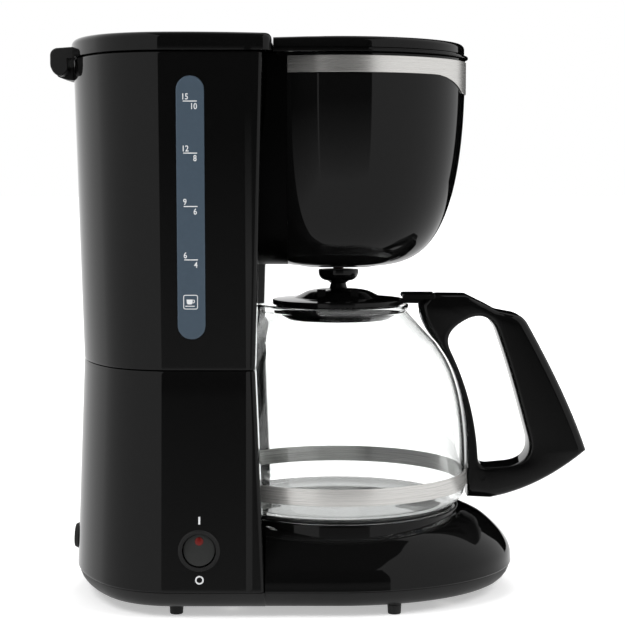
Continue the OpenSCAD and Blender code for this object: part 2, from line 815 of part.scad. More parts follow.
// Fixed part of the head: it carries the outline of the holder back to the column
module head_frame() {
    levels = bowl_levels(0);
    last = len(levels) - 1;
    chord = function(z) sqrt(max(pow(bowl_r(z), 2) - part_x * part_x, 0));
    right = [for (i = [0 : last]) if (bowl_r(levels[i]) > part_x + 1) [chord(levels[i]), levels[i]]];
    left = [for (i = [len(right) - 1 : -1 : 0]) [-right[i][0], right[i][1]]];
    color([0.05, 0.05, 0.055]) placed() difference() {
        intersection() {
            bay(head_low, head_rim, -seat_gap);
            behind(-part_x - move_gap, head_low - over, head_rim + over);
            translate([-200, 0, 0]) rotate([90, 0, 90]) linear_extrude(300) polygon(concat(right, left));
        }
        // Room for the holder's corner to turn in
        translate([swing_x, swing_y, head_low - over])
            cylinder(r = swing_boss_r + 5, h = head_rim - head_low + 2 * over);
        // The tank's lid passes over the frame
        translate([0, 0, rim_z + seat_gap / 2]) linear_extrude(100) column_plan(rim_grow + lid_lip + seat_gap);
        // Hollow behind the closing face, with a way for the pipe
        translate([-part_x - wall - 200, -40, head_low + 12]) cube([200, 80, head_rim - head_low - 16]);
        translate([drop_x, 0, crossing_z - 6]) cylinder(r = riser_r + 1, h = 40);
    }
}

// Lid of the head: a round rim lip, then a crown that falls to the front
cover_low = head_rim + move_gap + 0.3;
cover_rear_x = -waist_front + rim_grow + lid_lip + 1.2;

module cover_plan(r) {
    union() {
        circle(r);
        translate([cover_rear_x - over, -r]) square([over - cover_rear_x, 2 * r]);
    }
}

module cover_crown(inset) {
    low = cover_low - (inset > 0 ? over : 0);
    intersection() {
        translate([0, 0, low]) linear_extrude(20) cover_plan(head_r - 0.5 - inset);
        translate([0, 0, cover_top_z - inset]) dome_cap(cover_dome_r, 110);
    }
}

module head_cover() {
    lip_h = 3;
    color([0.05, 0.05, 0.055]) placed() difference() {
        union() {
            cover_crown(0);
            translate([0, 0, cover_low]) linear_extrude(lip_h) cover_plan(head_r + 1.7);
        }
        difference() {
            cover_crown(wall);
            // Boss that holds the holder's hinge pin
            translate([swing_x, swing_y, 0]) cylinder(r = swing_boss_r, h = 400);
        }
        translate([swing_x, swing_y, cover_low - over]) cylinder(r = swing_pin_r + 0.02, h = over + 5.2);
        behind(cover_rear_x, 0, 400);
    }
}

// Swing-out bowl, open at the top, flat where it closes against the head frame
module filter_holder() {
    color([0.05, 0.05, 0.055]) placed() difference() {
        union() {
            difference() {
                bowl_solid();
                bowl_solid(holder_wall, head_rim + over);
                behind(-part_x, head_low - over, head_rim + over);
            }
            // Closing wall and the boss that turns on the pin
            intersection() {
                bowl_solid();
                translate([-part_x, -head_r, head_low]) cube([holder_wall, 2 * head_r, head_rim - head_low]);
            }
            intersection() {
                bowl_solid();
                translate([swing_x, swing_y, swing_low]) cylinder(r = swing_boss_r, h = head_rim - swing_low);
            }
            // Guide of the drip valve
            translate([0, 0, head_low + holder_wall - eps]) cylinder(r = outlet_r + 2, h = guide_h);
            // Ledge for the basket's flange
            difference() {
                translate([0, 0, basket_rim_z - 4 - seat_gap]) cylinder(r = head_r - holder_wall + 0.5, h = 2);
                translate([0, 0, basket_rim_z - 5]) cylinder(r = head_r - holder_wall - 4, h = 4);
                behind(-part_x, 0, 400);
            }
            // Finger ledge at the front
            intersection() {
                translate([head_r - 8, -12, finger_z]) cube([9, 24, 8]);
                translate([0, 0, finger_z]) cylinder(r = head_r - 0.2, h = 8);
            }
        }
        translate([0, 0, head_low - over]) cylinder(r = valve_r + 0.3, h = 30);
        translate([0, 0, head_low + holder_wall + 2]) cylinder(r = outlet_r, h = 20);
        // Windows that let the coffee reach the valve
        for (a = [0, 90]) rotate([0, 0, a]) translate([-12, -2, head_low + holder_wall + 1]) cube([24, 4, 7]);
        translate([swing_x, swing_y, swing_low + 2]) cylinder(r = swing_pin_r + pin_fit, h = 100);
    }
}

module holder_hinge_pin() {
    color("silver") placed() translate([swing_x, swing_y, swing_low + 2 + move_gap])
        cylinder(r = swing_pin_r, h = cover_low + 5 - swing_low - 2 - move_gap);
}

// Brushed steel band round the holder, deeper at the front
module trim_band() {
    skin = 0.5;
    gap = 0.1;
    half_dip = 32;
    top = head_rim - 1.2;
    module ring(low, high) {
        translate([0, 0, low]) difference() {
            cylinder(r = head_r + gap + skin, h = high - low);
            translate([0, 0, -over]) cylinder(r = head_r + gap, h = high - low + 2 * over);
        }
    }
    color([0.75, 0.75, 0.77]) placed() union() {
        difference() {
            ring(top - band_h, top);
            behind(-part_x, 0, 400);
        }
        intersection() {
            ring(top - band_h - band_dip, top);
            rotate([0, 0, -half_dip]) rotate_extrude(angle = 2 * half_dip)
                translate([10, top - band_h - band_dip]) square([80, 60]);
        }
    }
}

basket_rim_z = head_rim - 8;
basket_back_x = -part_x + holder_wall + seat_gap;

// Cone for the paper filter: its flange rests on the ledge inside the holder
module filter_basket() {
    top_r = 60;
    low_r = 30;
    low = head_low + 24;
    skin = 1.6;
    color([0.12, 0.12, 0.12]) placed() difference() {
        union() {
            difference() {
                union() {
                    translate([0, 0, low]) cylinder(r1 = low_r, r2 = top_r, h = basket_rim_z - low);
                    translate([0, 0, basket_rim_z - 2])
                        cylinder(r = bowl_r(basket_rim_z) - holder_wall - seat_gap, h = 2);
                }
                translate([0, 0, low + skin]) cylinder(r1 = low_r - skin, r2 = top_r - skin, h = basket_rim_z - low);
                behind(basket_back_x, low - over, basket_rim_z + over);
                translate([swing_x, swing_y, low]) cylinder(r = swing_boss_r + seat_gap, h = 200);
            }
            intersection() {
                translate([0, 0, low]) cylinder(r1 = low_r, r2 = top_r, h = basket_rim_z - low);
                translate([basket_back_x, -head_r, low]) cube([skin, 2 * head_r, basket_rim_z - low]);
            }
            // Flutes that keep the paper off the wall
            for (a = [-80 : 20 : 80]) rotate([0, 0, a]) translate([low_r - skin - 0.6, 0, low + skin])
                rotate([0, atan((top_r - low_r) / (basket_rim_z - low)), 0])
                    translate([-0.6, -0.6, 0]) cube([1.6, 1.2, 80]);
        }
        for (i = [-2 : 2]) translate([i * 8 - 1.5, -12, low - over]) cube([3, 24, 5]);
    }
}

// ---- Drip stop ----

valve_r = 3;
valve_tip_z = dish_z + move_gap;
outlet_r = 5;
guide_h = 14;
flange_z = head_low + holder_wall + 5;
guide_top = head_low + holder_wall + guide_h;

module drip_valve() {
    color([0.75, 0.1, 0.1]) placed() {
        translate([0, 0, valve_tip_z]) cylinder(r = valve_r, h = flange_z + 1 - valve_tip_z);
        translate([0, 0, flange_z]) cylinder(r = outlet_r - 0.4, h = 1.6);
    }
}

// Coil spring that presses the valve down onto its seat when the carafe is away
module drip_spring() {
    turns = 4;
    wire = 0.4;
    coil_r = 3.8;
    low = flange_z + 1.6 + wire + 0.1;
    high = guide_top - wire - 0.1;
    steps = 12 * turns;
    route = [for (i = [0 : steps]) [coil_r * cos(30 * i), coil_r * sin(30 * i), low + (high - low) * i / steps]];
    color("silver") placed() swept_rod(route, wire, 6);
}

module drip_stop_cap() {
    color([0.12, 0.12, 0.12]) placed() translate([0, 0, guide_top]) difference() {
        union() {
            cylinder(r = outlet_r + 2, h = 1.6);
            translate([0, 0, -5]) cylinder(r = outlet_r + 3.4, h = 6.6);
        }
        translate([0, 0, -6]) cylinder(r = outlet_r + 2 + seat_gap / 2, h = 6);
    }
}

// ---- Carafe ----

carafe_low = plate_top + move_gap - 0.1;
glass_top = carafe_low + glass_h;

// Outer skin of the glass as [radius, height over the foot]
function glass_skin(extra = 0) = concat(
    bow([66 + extra, 0], [glass_r + extra, 1], [glass_r + extra, 10 + extra], 6),
    bow([glass_r + extra, 20], [glass_r + extra, 68], [60 + extra, 88], 12),
    bow([57 + extra, 92.5], [neck_r + 8 + extra, 104], [neck_r + glass_wall + extra, glass_h - 4], 6),
    [[neck_r + glass_wall + 1.2 + extra, glass_h]]
);

module glass_solid(extra = 0) {
    translate([0, 0, carafe_low]) rotate_extrude()
        polygon(concat([[0, -extra]], [[66 + extra, -extra]], glass_skin(extra), [[0, glass_h]]));
}

module glass_hollow() {
    inner = glass_skin(-glass_wall);
    translate([0, 0, carafe_low]) rotate_extrude() polygon(concat(
        [[0, glass_wall]],
        [for (p = inner) [p[0], max(p[1], glass_wall)]],
        [[neck_r + 1.2, glass_h + over], [0, glass_h + over]]
    ));
}

module spout(extra) {
    hull() {
        translate([-neck_r + 4, 0, glass_top - 12]) sphere(5 + extra, $fn = 32);
        translate([-neck_r - 3.5, 0, glass_top + 0.5]) sphere(5 + extra, $fn = 32);
        translate([-neck_r + 10, 0, glass_top + 0.5]) sphere(9 + extra, $fn = 32);
    }
}

module carafe_glass() {
    color([0.8, 0.85, 0.85, 0.4]) placed() difference() {
        union() {
            glass_solid();
            spout(glass_wall);
        }
        glass_hollow();
        spout(0);
        translate([-100, -100, glass_top]) cube([200, 200, 40]);
    }
}

clamp_low = carafe_low + 9.5;
screw_z = clamp_low + clamp_h / 2;

module carafe_band() {
    skin = 0.6;
    gap = 0.1;
    color([0.75, 0.75, 0.77]) placed() difference() {
        union() {
            translate([0, 0, clamp_low]) cylinder(r = glass_r + gap + skin, h = clamp_h);
            translate([glass_r - 2, -7, clamp_low]) cube([4.4, 14, clamp_h]);
        }
        translate([0, 0, clamp_low - over]) cylinder(r = glass_r + gap, h = clamp_h + 2 * over);
        translate([glass_r, 0, screw_z]) rotate([0, 90, 0]) cylinder(r = 1.6, h = 10);
    }
}

// Side view of the handle: neck piece, swept grip and the foot that meets the band
handle_base = carafe_low - 50;
function handle_outline() = concat(
    bow([47, 166], [47, 156], [54, 146.5], 4),
    bow([60, 136], [75.5, 100], [75.6, 52], 8),
    bow([89, 51.8], [118, 57], [handle_reach, 80], 8),
    bow([134, 112], [124, 134], [110, 154.5], 8),
    bow([107, 159.6], [92, 160], [84, 167], 5),
    [[74, 171]],
    [[58, 170]]
);
function handle_hole() = concat(
    bow([76, 157.5], [60, 150], [65, 139], 6),
    bow([68.5, 131.5], [80, 105], [81.6, 76], 8),
    bow([82, 70], [90, 70.2], [96, 70.8], 4),
    bow([104, 71.5], [113, 74], [110.8, 86], 6),
    bow([107, 102], [100, 128], [92.5, 149], 8),
    bow([90, 157], [84, 160], [76, 157.5], 4)
);

module handle_prism(width) {
    rotate([90, 0, 0]) linear_extrude(width, center = true) children();
}

module carafe_handle() {
    bead = 2.4;
    color([0.05, 0.05, 0.055]) placed() translate([0, 0, handle_base]) difference() {
        union() {
            handle_prism(handle_w - 2 * bead) polygon(handle_outline());
            handle_prism(handle_w) offset(delta = -bead, chamfer = true) polygon(handle_outline());
        }
        handle_prism(handle_w + over) offset(r = bead) offset(delta = -bead) polygon(handle_hole());
        translate([0, 0, -handle_base]) glass_solid(1);
        // Slot for the clamping tab of the band, and the screw's way
        translate([70, -7 - seat_gap, clamp_low - handle_base - 0.3]) cube([7.2, 14 + 2 * seat_gap, clamp_h + 0.6]);
        translate([70, 0, screw_z - handle_base]) rotate([0, 90, 0]) cylinder(r = 1.9, h = 60);
        translate([85, 0, screw_z - handle_base]) rotate([0, 90, 0]) cylinder(r = 3.6, h = 60);
        // Fork that holds the lid's tongue
        translate([40, -8.4, 160.5]) cube([45, 16.8, 20]);
        translate([lid_pin_x, 0, lid_pin_z - handle_base]) rotate([90, 0, 0]) cylinder(r = 1.5 + 0.02, h = 20, center = true);
    }
}

module handle_screw() {
    color("silver") placed() translate([0, 0, screw_z]) rotate([0, 90, 0]) {
        translate([0, 0, glass_r + 0.9]) cylinder(r = 1.5, h = 12);
        translate([0, 0, 85.2]) difference() {
            cylinder(r = 3.3, h = 2.2);
            translate([0, 0, 1]) cylinder(r = 1.4, h = 3, $fn = 6);
        }
    }
}

lid_pin_x = 71;
lid_pin_z = handle_base + 166;

module carafe_lid() {
    rim_r = neck_r - 1;
    lid_z = glass_top + 0.3;
    plug_r = neck_r - 1.6;
    tongue = [
        [20, lid_z + 0.2], [50, lid_z + 0.2], [lid_pin_x + 3, lid_pin_z - 2.6], [lid_pin_x + 6, lid_pin_z + 2],
        [lid_pin_x + 4, lid_pin_z + 5.4], [lid_pin_x - 6, lid_pin_z + 3.2], [36, lid_z + 7], [20, lid_z + 6]
    ];
    color([0.05, 0.05, 0.055]) placed() difference() {
        union() {
            rotate_extrude() polygon(concat(
                [[0, lid_z - 9], [29.5, lid_z - 9]],
                [[plug_r - 1.5, lid_z - 4], [plug_r, lid_z], [neck_r + 2.6, lid_z + 0.1], [neck_r + 2.6, lid_z + 2.2]],
                [[30, lid_z + 3.4]],
                bow([27, lid_z + 4.2], [24, lid_z + 8.4], [15, lid_z + 9], 5),
                [[3.4, lid_z + 9.4], [3.4, dish_z - 8]],
                bow([6, dish_z - 6.5], [11.6, dish_z - 6], [11.6, dish_z - 1.2], 5),
                [[11.6, dish_z], [9.6, dish_z], [7, dish_z - 1.6], [0, dish_z - 1.6]]
            ));
            rotate([90, 0, 0]) linear_extrude(15.6, center = true) polygon(tongue);
            // Two stops on the dome
            for (x = [-10, 9]) translate([x - 2.5, -20, lid_z + 6]) cube([5, 2.5, 3.6]);
        }
        // Way for the coffee through the stem into the carafe
        translate([0, 0, lid_z - 20]) cylinder(r = 1.8, h = 60);
        translate([0, 0, lid_z - 9 - over]) cylinder(r = 27, h = 9);
        translate([lid_pin_x, 0, lid_pin_z]) rotate([90, 0, 0]) cylinder(r = 1.5 + pin_fit, h = 30, center = true);
    }
}

module carafe_lid_pin() {
    color("silver") placed() translate([lid_pin_x, 0, lid_pin_z]) rotate([90, 0, 0])
        cylinder(r = 1.5, h = 19.6, center = true);
}

tank_shell();
level_gauge();
tank_lid();
lid_hinge_bracket();
lid_hinge_pin();
lower_housing();
cord_gland();
switch_bezel();
switch_rocker();
switch_lens();
base_cover();
bottom_plate();
feet();
bottom_screws();
hot_plate();
hot_plate_seal();
heating_element();
heater_clips();
thermostat();
thermal_fuse();
tank_outlet();
valve_ball();
inlet_hose();
outlet_hose();
riser_tube();
spray_head();
head_frame();
head_cover();
filter_holder();
holder_hinge_pin();
trim_band();
filter_basket();
drip_valve();
drip_spring();
drip_stop_cap();
carafe_glass();
carafe_band();
carafe_handle();
handle_screw();
carafe_lid();
carafe_lid_pin();
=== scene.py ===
"""Drip coffee maker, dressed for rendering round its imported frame.

Shapes are worked out in millimetres about the carafe's axis, +Z up and +X to
the front, and become metres in the frame's own place when they turn into a mesh.
"""

import logging
import math
from dataclasses import dataclass, field
from enum import Enum

import bmesh
import bpy
import numpy as np
from mathutils import Matrix, Vector


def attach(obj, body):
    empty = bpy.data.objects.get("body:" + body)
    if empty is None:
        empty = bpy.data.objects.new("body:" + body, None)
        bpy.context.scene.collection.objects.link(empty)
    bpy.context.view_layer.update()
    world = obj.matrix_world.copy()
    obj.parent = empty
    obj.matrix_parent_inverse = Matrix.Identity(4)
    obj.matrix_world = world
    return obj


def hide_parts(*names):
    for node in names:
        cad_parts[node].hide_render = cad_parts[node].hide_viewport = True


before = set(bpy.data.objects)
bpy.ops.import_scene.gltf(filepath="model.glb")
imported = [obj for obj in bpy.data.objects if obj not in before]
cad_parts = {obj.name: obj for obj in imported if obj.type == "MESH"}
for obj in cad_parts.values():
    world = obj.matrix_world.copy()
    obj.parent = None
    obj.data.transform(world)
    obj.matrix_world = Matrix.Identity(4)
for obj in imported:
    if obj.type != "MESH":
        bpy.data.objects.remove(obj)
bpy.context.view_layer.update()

log = logging.getLogger("coffee_maker")
# Angle in degrees past which an edge of a turned or stretched form is sharp
SHARP_ANGLE = 32.0

MM = 0.001
# Place of the carafe's axis in the frame
AXIS_X = 9.1


class Body(Enum):
    """Bodies of the frame that a piece can ride on."""

    MACHINE = "machine"
    LID = "lid"
    HOLDER = "holder"
    STOPPER = "stopper"
    ROCKER = "rocker"
    CARAFE = "carafe"
    CHECK_BALL = "check_ball"


class Side(Enum):
    """Near and far flank of the machine, as signs of Y."""

    NEAR = -1
    FAR = 1


# ---- Curves and surfaces ----


def bow(start, bend, end, steps: int = 12) -> np.ndarray:
    """Points on a quadratic curve: (1-t)^2 start + 2t(1-t) bend + t^2 end.

    Args:
        start: First point.
        bend: Point that the curve leaves and arrives towards.
        end: Last point.
        steps: Number of spans.

    Returns:
        Array of steps + 1 points.
    """
    t = np.linspace(0, 1, steps + 1)[:, None]
    a, b, c = (np.asarray(p, float) for p in (start, bend, end))
    return a * (1 - t) ** 2 + b * 2 * t * (1 - t) + c * t**2


def arc(centre, radius: float, start: float, end: float, steps: int) -> np.ndarray:
    """Points on a circle between two angles in degrees.

    Args:
        centre: Centre of the circle in its plane.
        radius: Radius of the circle.
        start: First angle.
        end: Last angle.
        steps: Number of spans.

    Returns:
        Array of steps + 1 points (x, y).
    """
    a = np.radians(np.linspace(start, end, steps + 1))
    return np.stack([centre[0] + radius * np.cos(a), centre[1] + radius * np.sin(a)], axis=1)


def straight(start, end, steps: int = 4) -> np.ndarray:
    """Points on a line, crowded at both ends so that shading stays flat between them.

    Args:
        start: First point.
        end: Last point.
        steps: Number of spans between the two end spans.

    Returns:
        Array of points, both ends included.
    """
    t = np.concatenate([[0, 0.006], np.linspace(0.05, 0.95, steps + 1), [0.994, 1]])[:, None]
    return np.asarray(start, float) * (1 - t) + np.asarray(end, float) * t


def through(points, spans: int = 6) -> np.ndarray:
    """Smooth curve through points: a cubic on each span whose end slopes are
    half the chord between its neighbours.

    Args:
        points: Points that the curve passes through.
        spans: Steps drawn on each span.

    Returns:
        Array of points on the curve.
    """
    p = np.asarray(points, float)
    padded = np.vstack([2 * p[0] - p[1], p, 2 * p[-1] - p[-2]])
    t = np.linspace(0, 1, spans, endpoint=False)[None, :, None]
    a, b, c, d = (padded[i : len(p) - 1 + i, None, :] for i in range(4))
    square, cube = 2 * a - 5 * b + 4 * c - d, 3 * b - a - 3 * c + d
    curve = 0.5 * (2 * b + (c - a) * t + square * t**2 + cube * t**3)
    return np.vstack([curve.reshape(-1, p.shape[1]), p[-1:]])


def rounded(corners, closed: bool = False, steps: int = 5) -> np.ndarray:
    """Polyline whose corners are drawn as curves.

    Args:
        corners: Rows of (x, y, radius).
        closed: True if the last corner joins the first.
        steps: Spans of each rounded corner.

    Returns:
        Array of points (x, y).
    """
    rows = np.asarray(corners, float)
    count = len(rows)
    parts = []
    for i, (x, y, radius) in enumerate(rows):
        here = np.array([x, y])
        if radius <= 0 or (not closed and i in (0, count - 1)):
            parts.append(here[None])
            continue
        back, ahead = rows[i - 1, :2] - here, rows[(i + 1) % count, :2] - here
        cut = min(radius, 0.49 * np.linalg.norm(back), 0.49 * np.linalg.norm(ahead))
        first = here + back / np.linalg.norm(back) * cut
        last = here + ahead / np.linalg.norm(ahead) * cut
        parts.append(bow(first, here, last, steps))
    return np.vstack(parts)


def resampled(path: np.ndarray, count: int) -> np.ndarray:
    """The path drawn again with evenly spaced points.

    Args:
        path: Points of the path.
        count: Number of points wanted.

    Returns:
        Array of count points.
    """
    reach = np.concatenate([[0], np.cumsum(np.linalg.norm(np.diff(path, axis=0), axis=1))])
    at = np.linspace(0, reach[-1], count)
    return np.stack([np.interp(at, reach, path[:, k]) for k in range(path.shape[1])], axis=1)


def eased(t: np.ndarray) -> np.ndarray:
    """Smooth step 3t^2 - 2t^3 of values held between 0 and 1."""
    t = np.clip(t, 0, 1)
    return t * t * (3 - 2 * t)


def at_height(outline: np.ndarray, z) -> np.ndarray:
    """Plan outline raised to a height, or to one height for each point."""
    return np.column_stack([outline, np.broadcast_to(z, len(outline))])


def grid_faces(rows: int, columns: int, wrap_rows: bool, wrap_columns: bool) -> np.ndarray:
    """Quads of a grid of points, each from a point and its next row and column.

    Args:
        rows: Number of rows.
        columns: Number of columns.
        wrap_rows: True if the last row joins the first.
        wrap_columns: True if the last column joins the first.

    Returns:
        Array of vertex numbers, four for each face.
    """
    i = np.arange(rows if wrap_rows else rows - 1)[:, None]
    j = np.arange(columns if wrap_columns else columns - 1)[None, :]
    below, beside = (i + 1) % rows, (j + 1) % columns
    quads = [i * columns + j, i * columns + beside, below * columns + beside, below * columns + j]
    return np.stack([np.broadcast_to(q, (i.size, j.size)) for q in quads], axis=-1).reshape(-1, 4)


def in_frame(points: np.ndarray) -> np.ndarray:
    """Millimetres about the carafe's axis as metres in the frame."""
    return (np.asarray(points, float) + [AXIS_X, 0, 0]) * MM


def clean(mesh: bpy.types.Mesh, recalc: bool = True, sharp: float = 32) -> None:
    """Merges doubled points, turns the faces outwards and marks the sharp edges.

    Args:
        mesh: Mesh to clean.
        recalc: False keeps the faces' present directions.
        sharp: Angle in degrees past which an edge is sharp.
    """
    work = bmesh.new()
    work.from_mesh(mesh)
    bmesh.ops.remove_doubles(work, verts=work.verts, dist=1.5e-6)
    bmesh.ops.dissolve_degenerate(work, edges=work.edges, dist=5e-7)
    if recalc:
        bmesh.ops.recalc_face_normals(work, faces=work.faces)
    work.to_mesh(mesh)
    work.free()
    mesh.shade_smooth()
    mesh.set_sharp_from_angle(angle=math.radians(sharp))


def mesh_object(name: str, points: np.ndarray, faces: list, sharp: float = 32) -> bpy.types.Object:
    """A new object from points about the carafe's axis.

    Args:
        name: Name of the object.
        points: Array (n, 3) in millimetres.
        faces: Lists of vertex numbers.
        sharp: Angle in degrees past which an edge is sharp.

    Returns:
        The object, linked to the scene and without a material.
    """
    mesh = bpy.data.meshes.new(name)
    mesh.from_pydata(in_frame(points).tolist(), [], faces)
    clean(mesh, sharp=sharp)
    made = bpy.data.objects.new(name, mesh)
    bpy.context.scene.collection.objects.link(made)
    return made


def loft(name: str, rings, wrap: bool = False, sharp: float = 32) -> bpy.types.Object:
    """Closed skin through rings that have as many points each.

    Args:
        name: Name of the object.
        rings: Rows of closed outlines, each (n, 3).
        wrap: True joins the last ring to the first; otherwise both are filled.
        sharp: Angle in degrees past which an edge is sharp.

    Returns:
        The new object.
    """
    grid = np.asarray(rings, float)
    rows, columns = grid.shape[:2]
    faces = grid_faces(rows, columns, wrap, True).tolist()
    if not wrap:
        faces.append(list(range(columns)))
        faces.append(list(range((rows - 1) * columns, rows * columns)))
    return mesh_object(name, grid.reshape(-1, 3), faces, sharp)


def revolve(name: str, profile: np.ndarray, centre=(0, 0), steps: int = 144,
            wrap: bool = False) -> bpy.types.Object:
    """Profile (radius, height) carried round an upright axis: x = r cos a, y = r sin a.

    Args:
        name: Name of the object.
        profile: Points of the profile, from pole to pole unless it is wrapped.
        centre: Place of the axis in plan.
        steps: Number of points round.
        wrap: True for a closed profile that doesn't reach the axis.

    Returns:
        The new object.
    """
    a = np.linspace(0, 2 * np.pi, steps, endpoint=False)
    r, z = profile[:, 0:1], profile[:, 1:2]
    grid = np.stack([centre[0] + r * np.cos(a), centre[1] + r * np.sin(a), z + 0 * a], axis=-1)
    faces = grid_faces(len(profile), steps, wrap, True).tolist()
    return mesh_object(name, grid.reshape(-1, 3), faces, SHARP_ANGLE)


def prism(name: str, outline: np.ndarray, low: float, high: float, edge: float = 0.4,
          axis: str = "y") -> bpy.types.Object:
    """Flat outline given a thickness, its rims drawn in by a small edge.

    Args:
        name: Name of the object.
        outline: Points (x, z) for the "y" axis or (x, y) for the "z" axis.
        low: Start of the thickness.
        high: End of the thickness.
        edge: How far the rims are drawn in towards the outline's middle.
        axis: "y" or "z", the way that the outline is stretched.

    Returns:
        The new object.
    """
    middle = outline.mean(axis=0)
    away = outline - middle
    inner = middle + away * (1 - edge / np.linalg.norm(away, axis=1, keepdims=True))
    rows = []
    for plan, level in ((inner, low), (outline, low + edge), (outline, high - edge), (inner, high)):
        level_column = np.full((len(plan), 1), float(level))
        order = [plan[:, :1], level_column, plan[:, 1:]] if axis == "y" else [plan, level_column]
        rows.append(np.hstack(order))
    return loft(name, rows, sharp=SHARP_ANGLE)


def joined(name: str, parts: list) -> bpy.types.Object:
    """One object that holds the meshes of several.

    Args:
        name: Name of the result.
        parts: Objects, which are taken away.

    Returns:
        The joined object.
    """
    work = bmesh.new()
    for part in parts:
        work.from_mesh(part.data)
    mesh = bpy.data.meshes.new(name)
    work.to_mesh(mesh)
    work.free()
    for part in parts:
        bpy.data.objects.remove(part)
    mesh.shade_smooth()
    mesh.set_sharp_from_angle(angle=math.radians(32))
    made = bpy.data.objects.new(name, mesh)
    bpy.context.scene.collection.objects.link(made)
    return made


def cut(target: bpy.types.Object, cutter: bpy.types.Object) -> None:
    """Takes the cutter's volume out of the target and removes the cutter.

    Args:
        target: Object that is cut.
        cutter: Closed object that is used up.
    """
    modifier = target.modifiers.new("cut", "BOOLEAN")
    modifier.operation = "DIFFERENCE"
    modifier.solver = "EXACT"
    modifier.object = cutter
    graph = bpy.context.evaluated_depsgraph_get()
    mesh = bpy.data.meshes.new_from_object(target.evaluated_get(graph))
    target.modifiers.clear()
    target.data = mesh
    bpy.data.objects.remove(cutter)
    clean(mesh, recalc=False)


def soften(piece: bpy.types.Object, width: float, segments: int = 2, angle: float = 40) -> None:
    """Rounds the piece's hard edges with a Bevel modifier.

    Args:
        piece: Object to soften.
        width: Width of the bevel in millimetres.
        segments: Faces across each rounded edge.
        angle: Only edges sharper than this many degrees are rounded.
    """
    bevel = piece.modifiers.new("edges", "BEVEL")
    bevel.width = width * MM
    bevel.segments = segments
    bevel.limit_method = "ANGLE"
    bevel.angle_limit = math.radians(angle)
    bevel.miter_outer = "MITER_ARC"
    bevel.use_clamp_overlap = True
    bevel.harden_normals = True


def copy_of(node: str, edge: float = 0.0) -> bpy.types.Object:
    """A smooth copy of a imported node, with its loose triangles merged.

    Args:
        node: Name of the node.
        edge: Width of the bevel on its hard edges in millimetres.

    Returns:
        The copy, which doesn't yet replace the node.
    """
    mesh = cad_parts[node].data.copy()
    mesh.name = node + "_skin"
    mesh.materials.clear()
    work = bmesh.new()
    work.from_mesh(mesh)
    bmesh.ops.remove_doubles(work, verts=work.verts, dist=2e-6)
    bmesh.ops.dissolve_limit(work, angle_limit=math.radians(0.4), verts=work.verts, edges=work.edges)
    work.to_mesh(mesh)
    work.free()
    for layer in [a.name for a in mesh.attributes if a.name == "custom_normal"]:
        mesh.attributes.remove(mesh.attributes[layer])
    mesh.shade_smooth()
    mesh.set_sharp_from_angle(angle=math.radians(28))
    made = bpy.data.objects.new(node + "_skin", mesh)
    bpy.context.scene.collection.objects.link(made)
    if edge:
        soften(made, edge)
    return made


def seat(piece: bpy.types.Object, body: Body, finish: "Finish", *nodes: str, slot: str = "") -> bpy.types.Object:
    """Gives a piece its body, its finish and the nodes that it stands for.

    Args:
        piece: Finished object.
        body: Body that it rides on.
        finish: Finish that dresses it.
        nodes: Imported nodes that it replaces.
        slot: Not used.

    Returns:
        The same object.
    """
    piece.data.materials.clear()
    piece.data.materials.append(finish.material())
    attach(piece, body.value)
    if nodes:
        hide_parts(*nodes)
    log.info("%s rides on %s with %d faces", piece.name, body.value, len(piece.data.polygons))
    return piece


# ---- Finishes ----


class Nodes:
    """Small helper that lays out and links the nodes of one tree."""

    def __init__(self, tree: bpy.types.NodeTree) -> None:
        """Starts on a tree.

        Args:
            tree: Node tree of a material, a world or a group.
        """
        self.tree = tree
        self.column = 0

    def add(self, kind: str, **values) -> bpy.types.Node:
        """Adds a node.

        Args:
            kind: Type of the node.
            values: Its settings, and its inputs by name with spaces as underscores.

        Returns:
            The new node.
        """
        node = self.tree.nodes.new(kind)
        node.location = (self.column * 200 - 1200, 0)
        self.column += 1
        for name, value in values.items():
            socket = node.inputs.get(name.replace("_", " "))
            if hasattr(node, name) and socket is None:
                setattr(node, name, value)
            else:
                socket.default_value = value
        return node

    def link(self, source, target) -> None:
        """Links an output socket to an input socket."""
        self.tree.links.new(source, target)


def grain_group() -> bpy.types.NodeTree:
    """Shared effect: cloudy change of gloss and a fine rippled height on mouldings.

    Returns:
        The group, with Scale, Low, High and Ripple in, Roughness and Height out.
    """
    found = bpy.data.node_groups.get("moulding_grain")
    if found:
        return found
    tree = bpy.data.node_groups.new("moulding_grain", "ShaderNodeTree")
    for name, start in (("Scale", 40.0), ("Low", 0.08), ("High", 0.16), ("Ripple", 900.0)):
        socket = tree.interface.new_socket(name, in_out="INPUT", socket_type="NodeSocketFloat")
        socket.default_value = start
    tree.interface.new_socket("Roughness", in_out="OUTPUT", socket_type="NodeSocketFloat")
    tree.interface.new_socket("Height", in_out="OUTPUT", socket_type="NodeSocketFloat")
    nodes = Nodes(tree)
    given = nodes.add("NodeGroupInput")
    place = nodes.add("ShaderNodeTexCoord")
    cloud = nodes.add("ShaderNodeTexNoise", Detail=4.0, Roughness=0.6)
    spread = nodes.add("ShaderNodeMapRange")
    ripple = nodes.add("ShaderNodeTexNoise", Detail=3.0, Roughness=0.55)
    out = nodes.add("NodeGroupOutput")
    for noise, scale in ((cloud, "Scale"), (ripple, "Ripple")):
        nodes.link(place.outputs["Object"], noise.inputs["Vector"])
        nodes.link(given.outputs[scale], noise.inputs["Scale"])
    nodes.link(cloud.outputs["Fac"], spread.inputs["Value"])
    spread.inputs["From Min"].default_value = 0.3
    spread.inputs["From Max"].default_value = 0.7
    nodes.link(given.outputs["Low"], spread.inputs["To Min"])
    nodes.link(given.outputs["High"], spread.inputs["To Max"])
    nodes.link(spread.outputs["Result"], out.inputs["Roughness"])
    nodes.link(ripple.outputs["Fac"], out.inputs["Height"])
    return tree


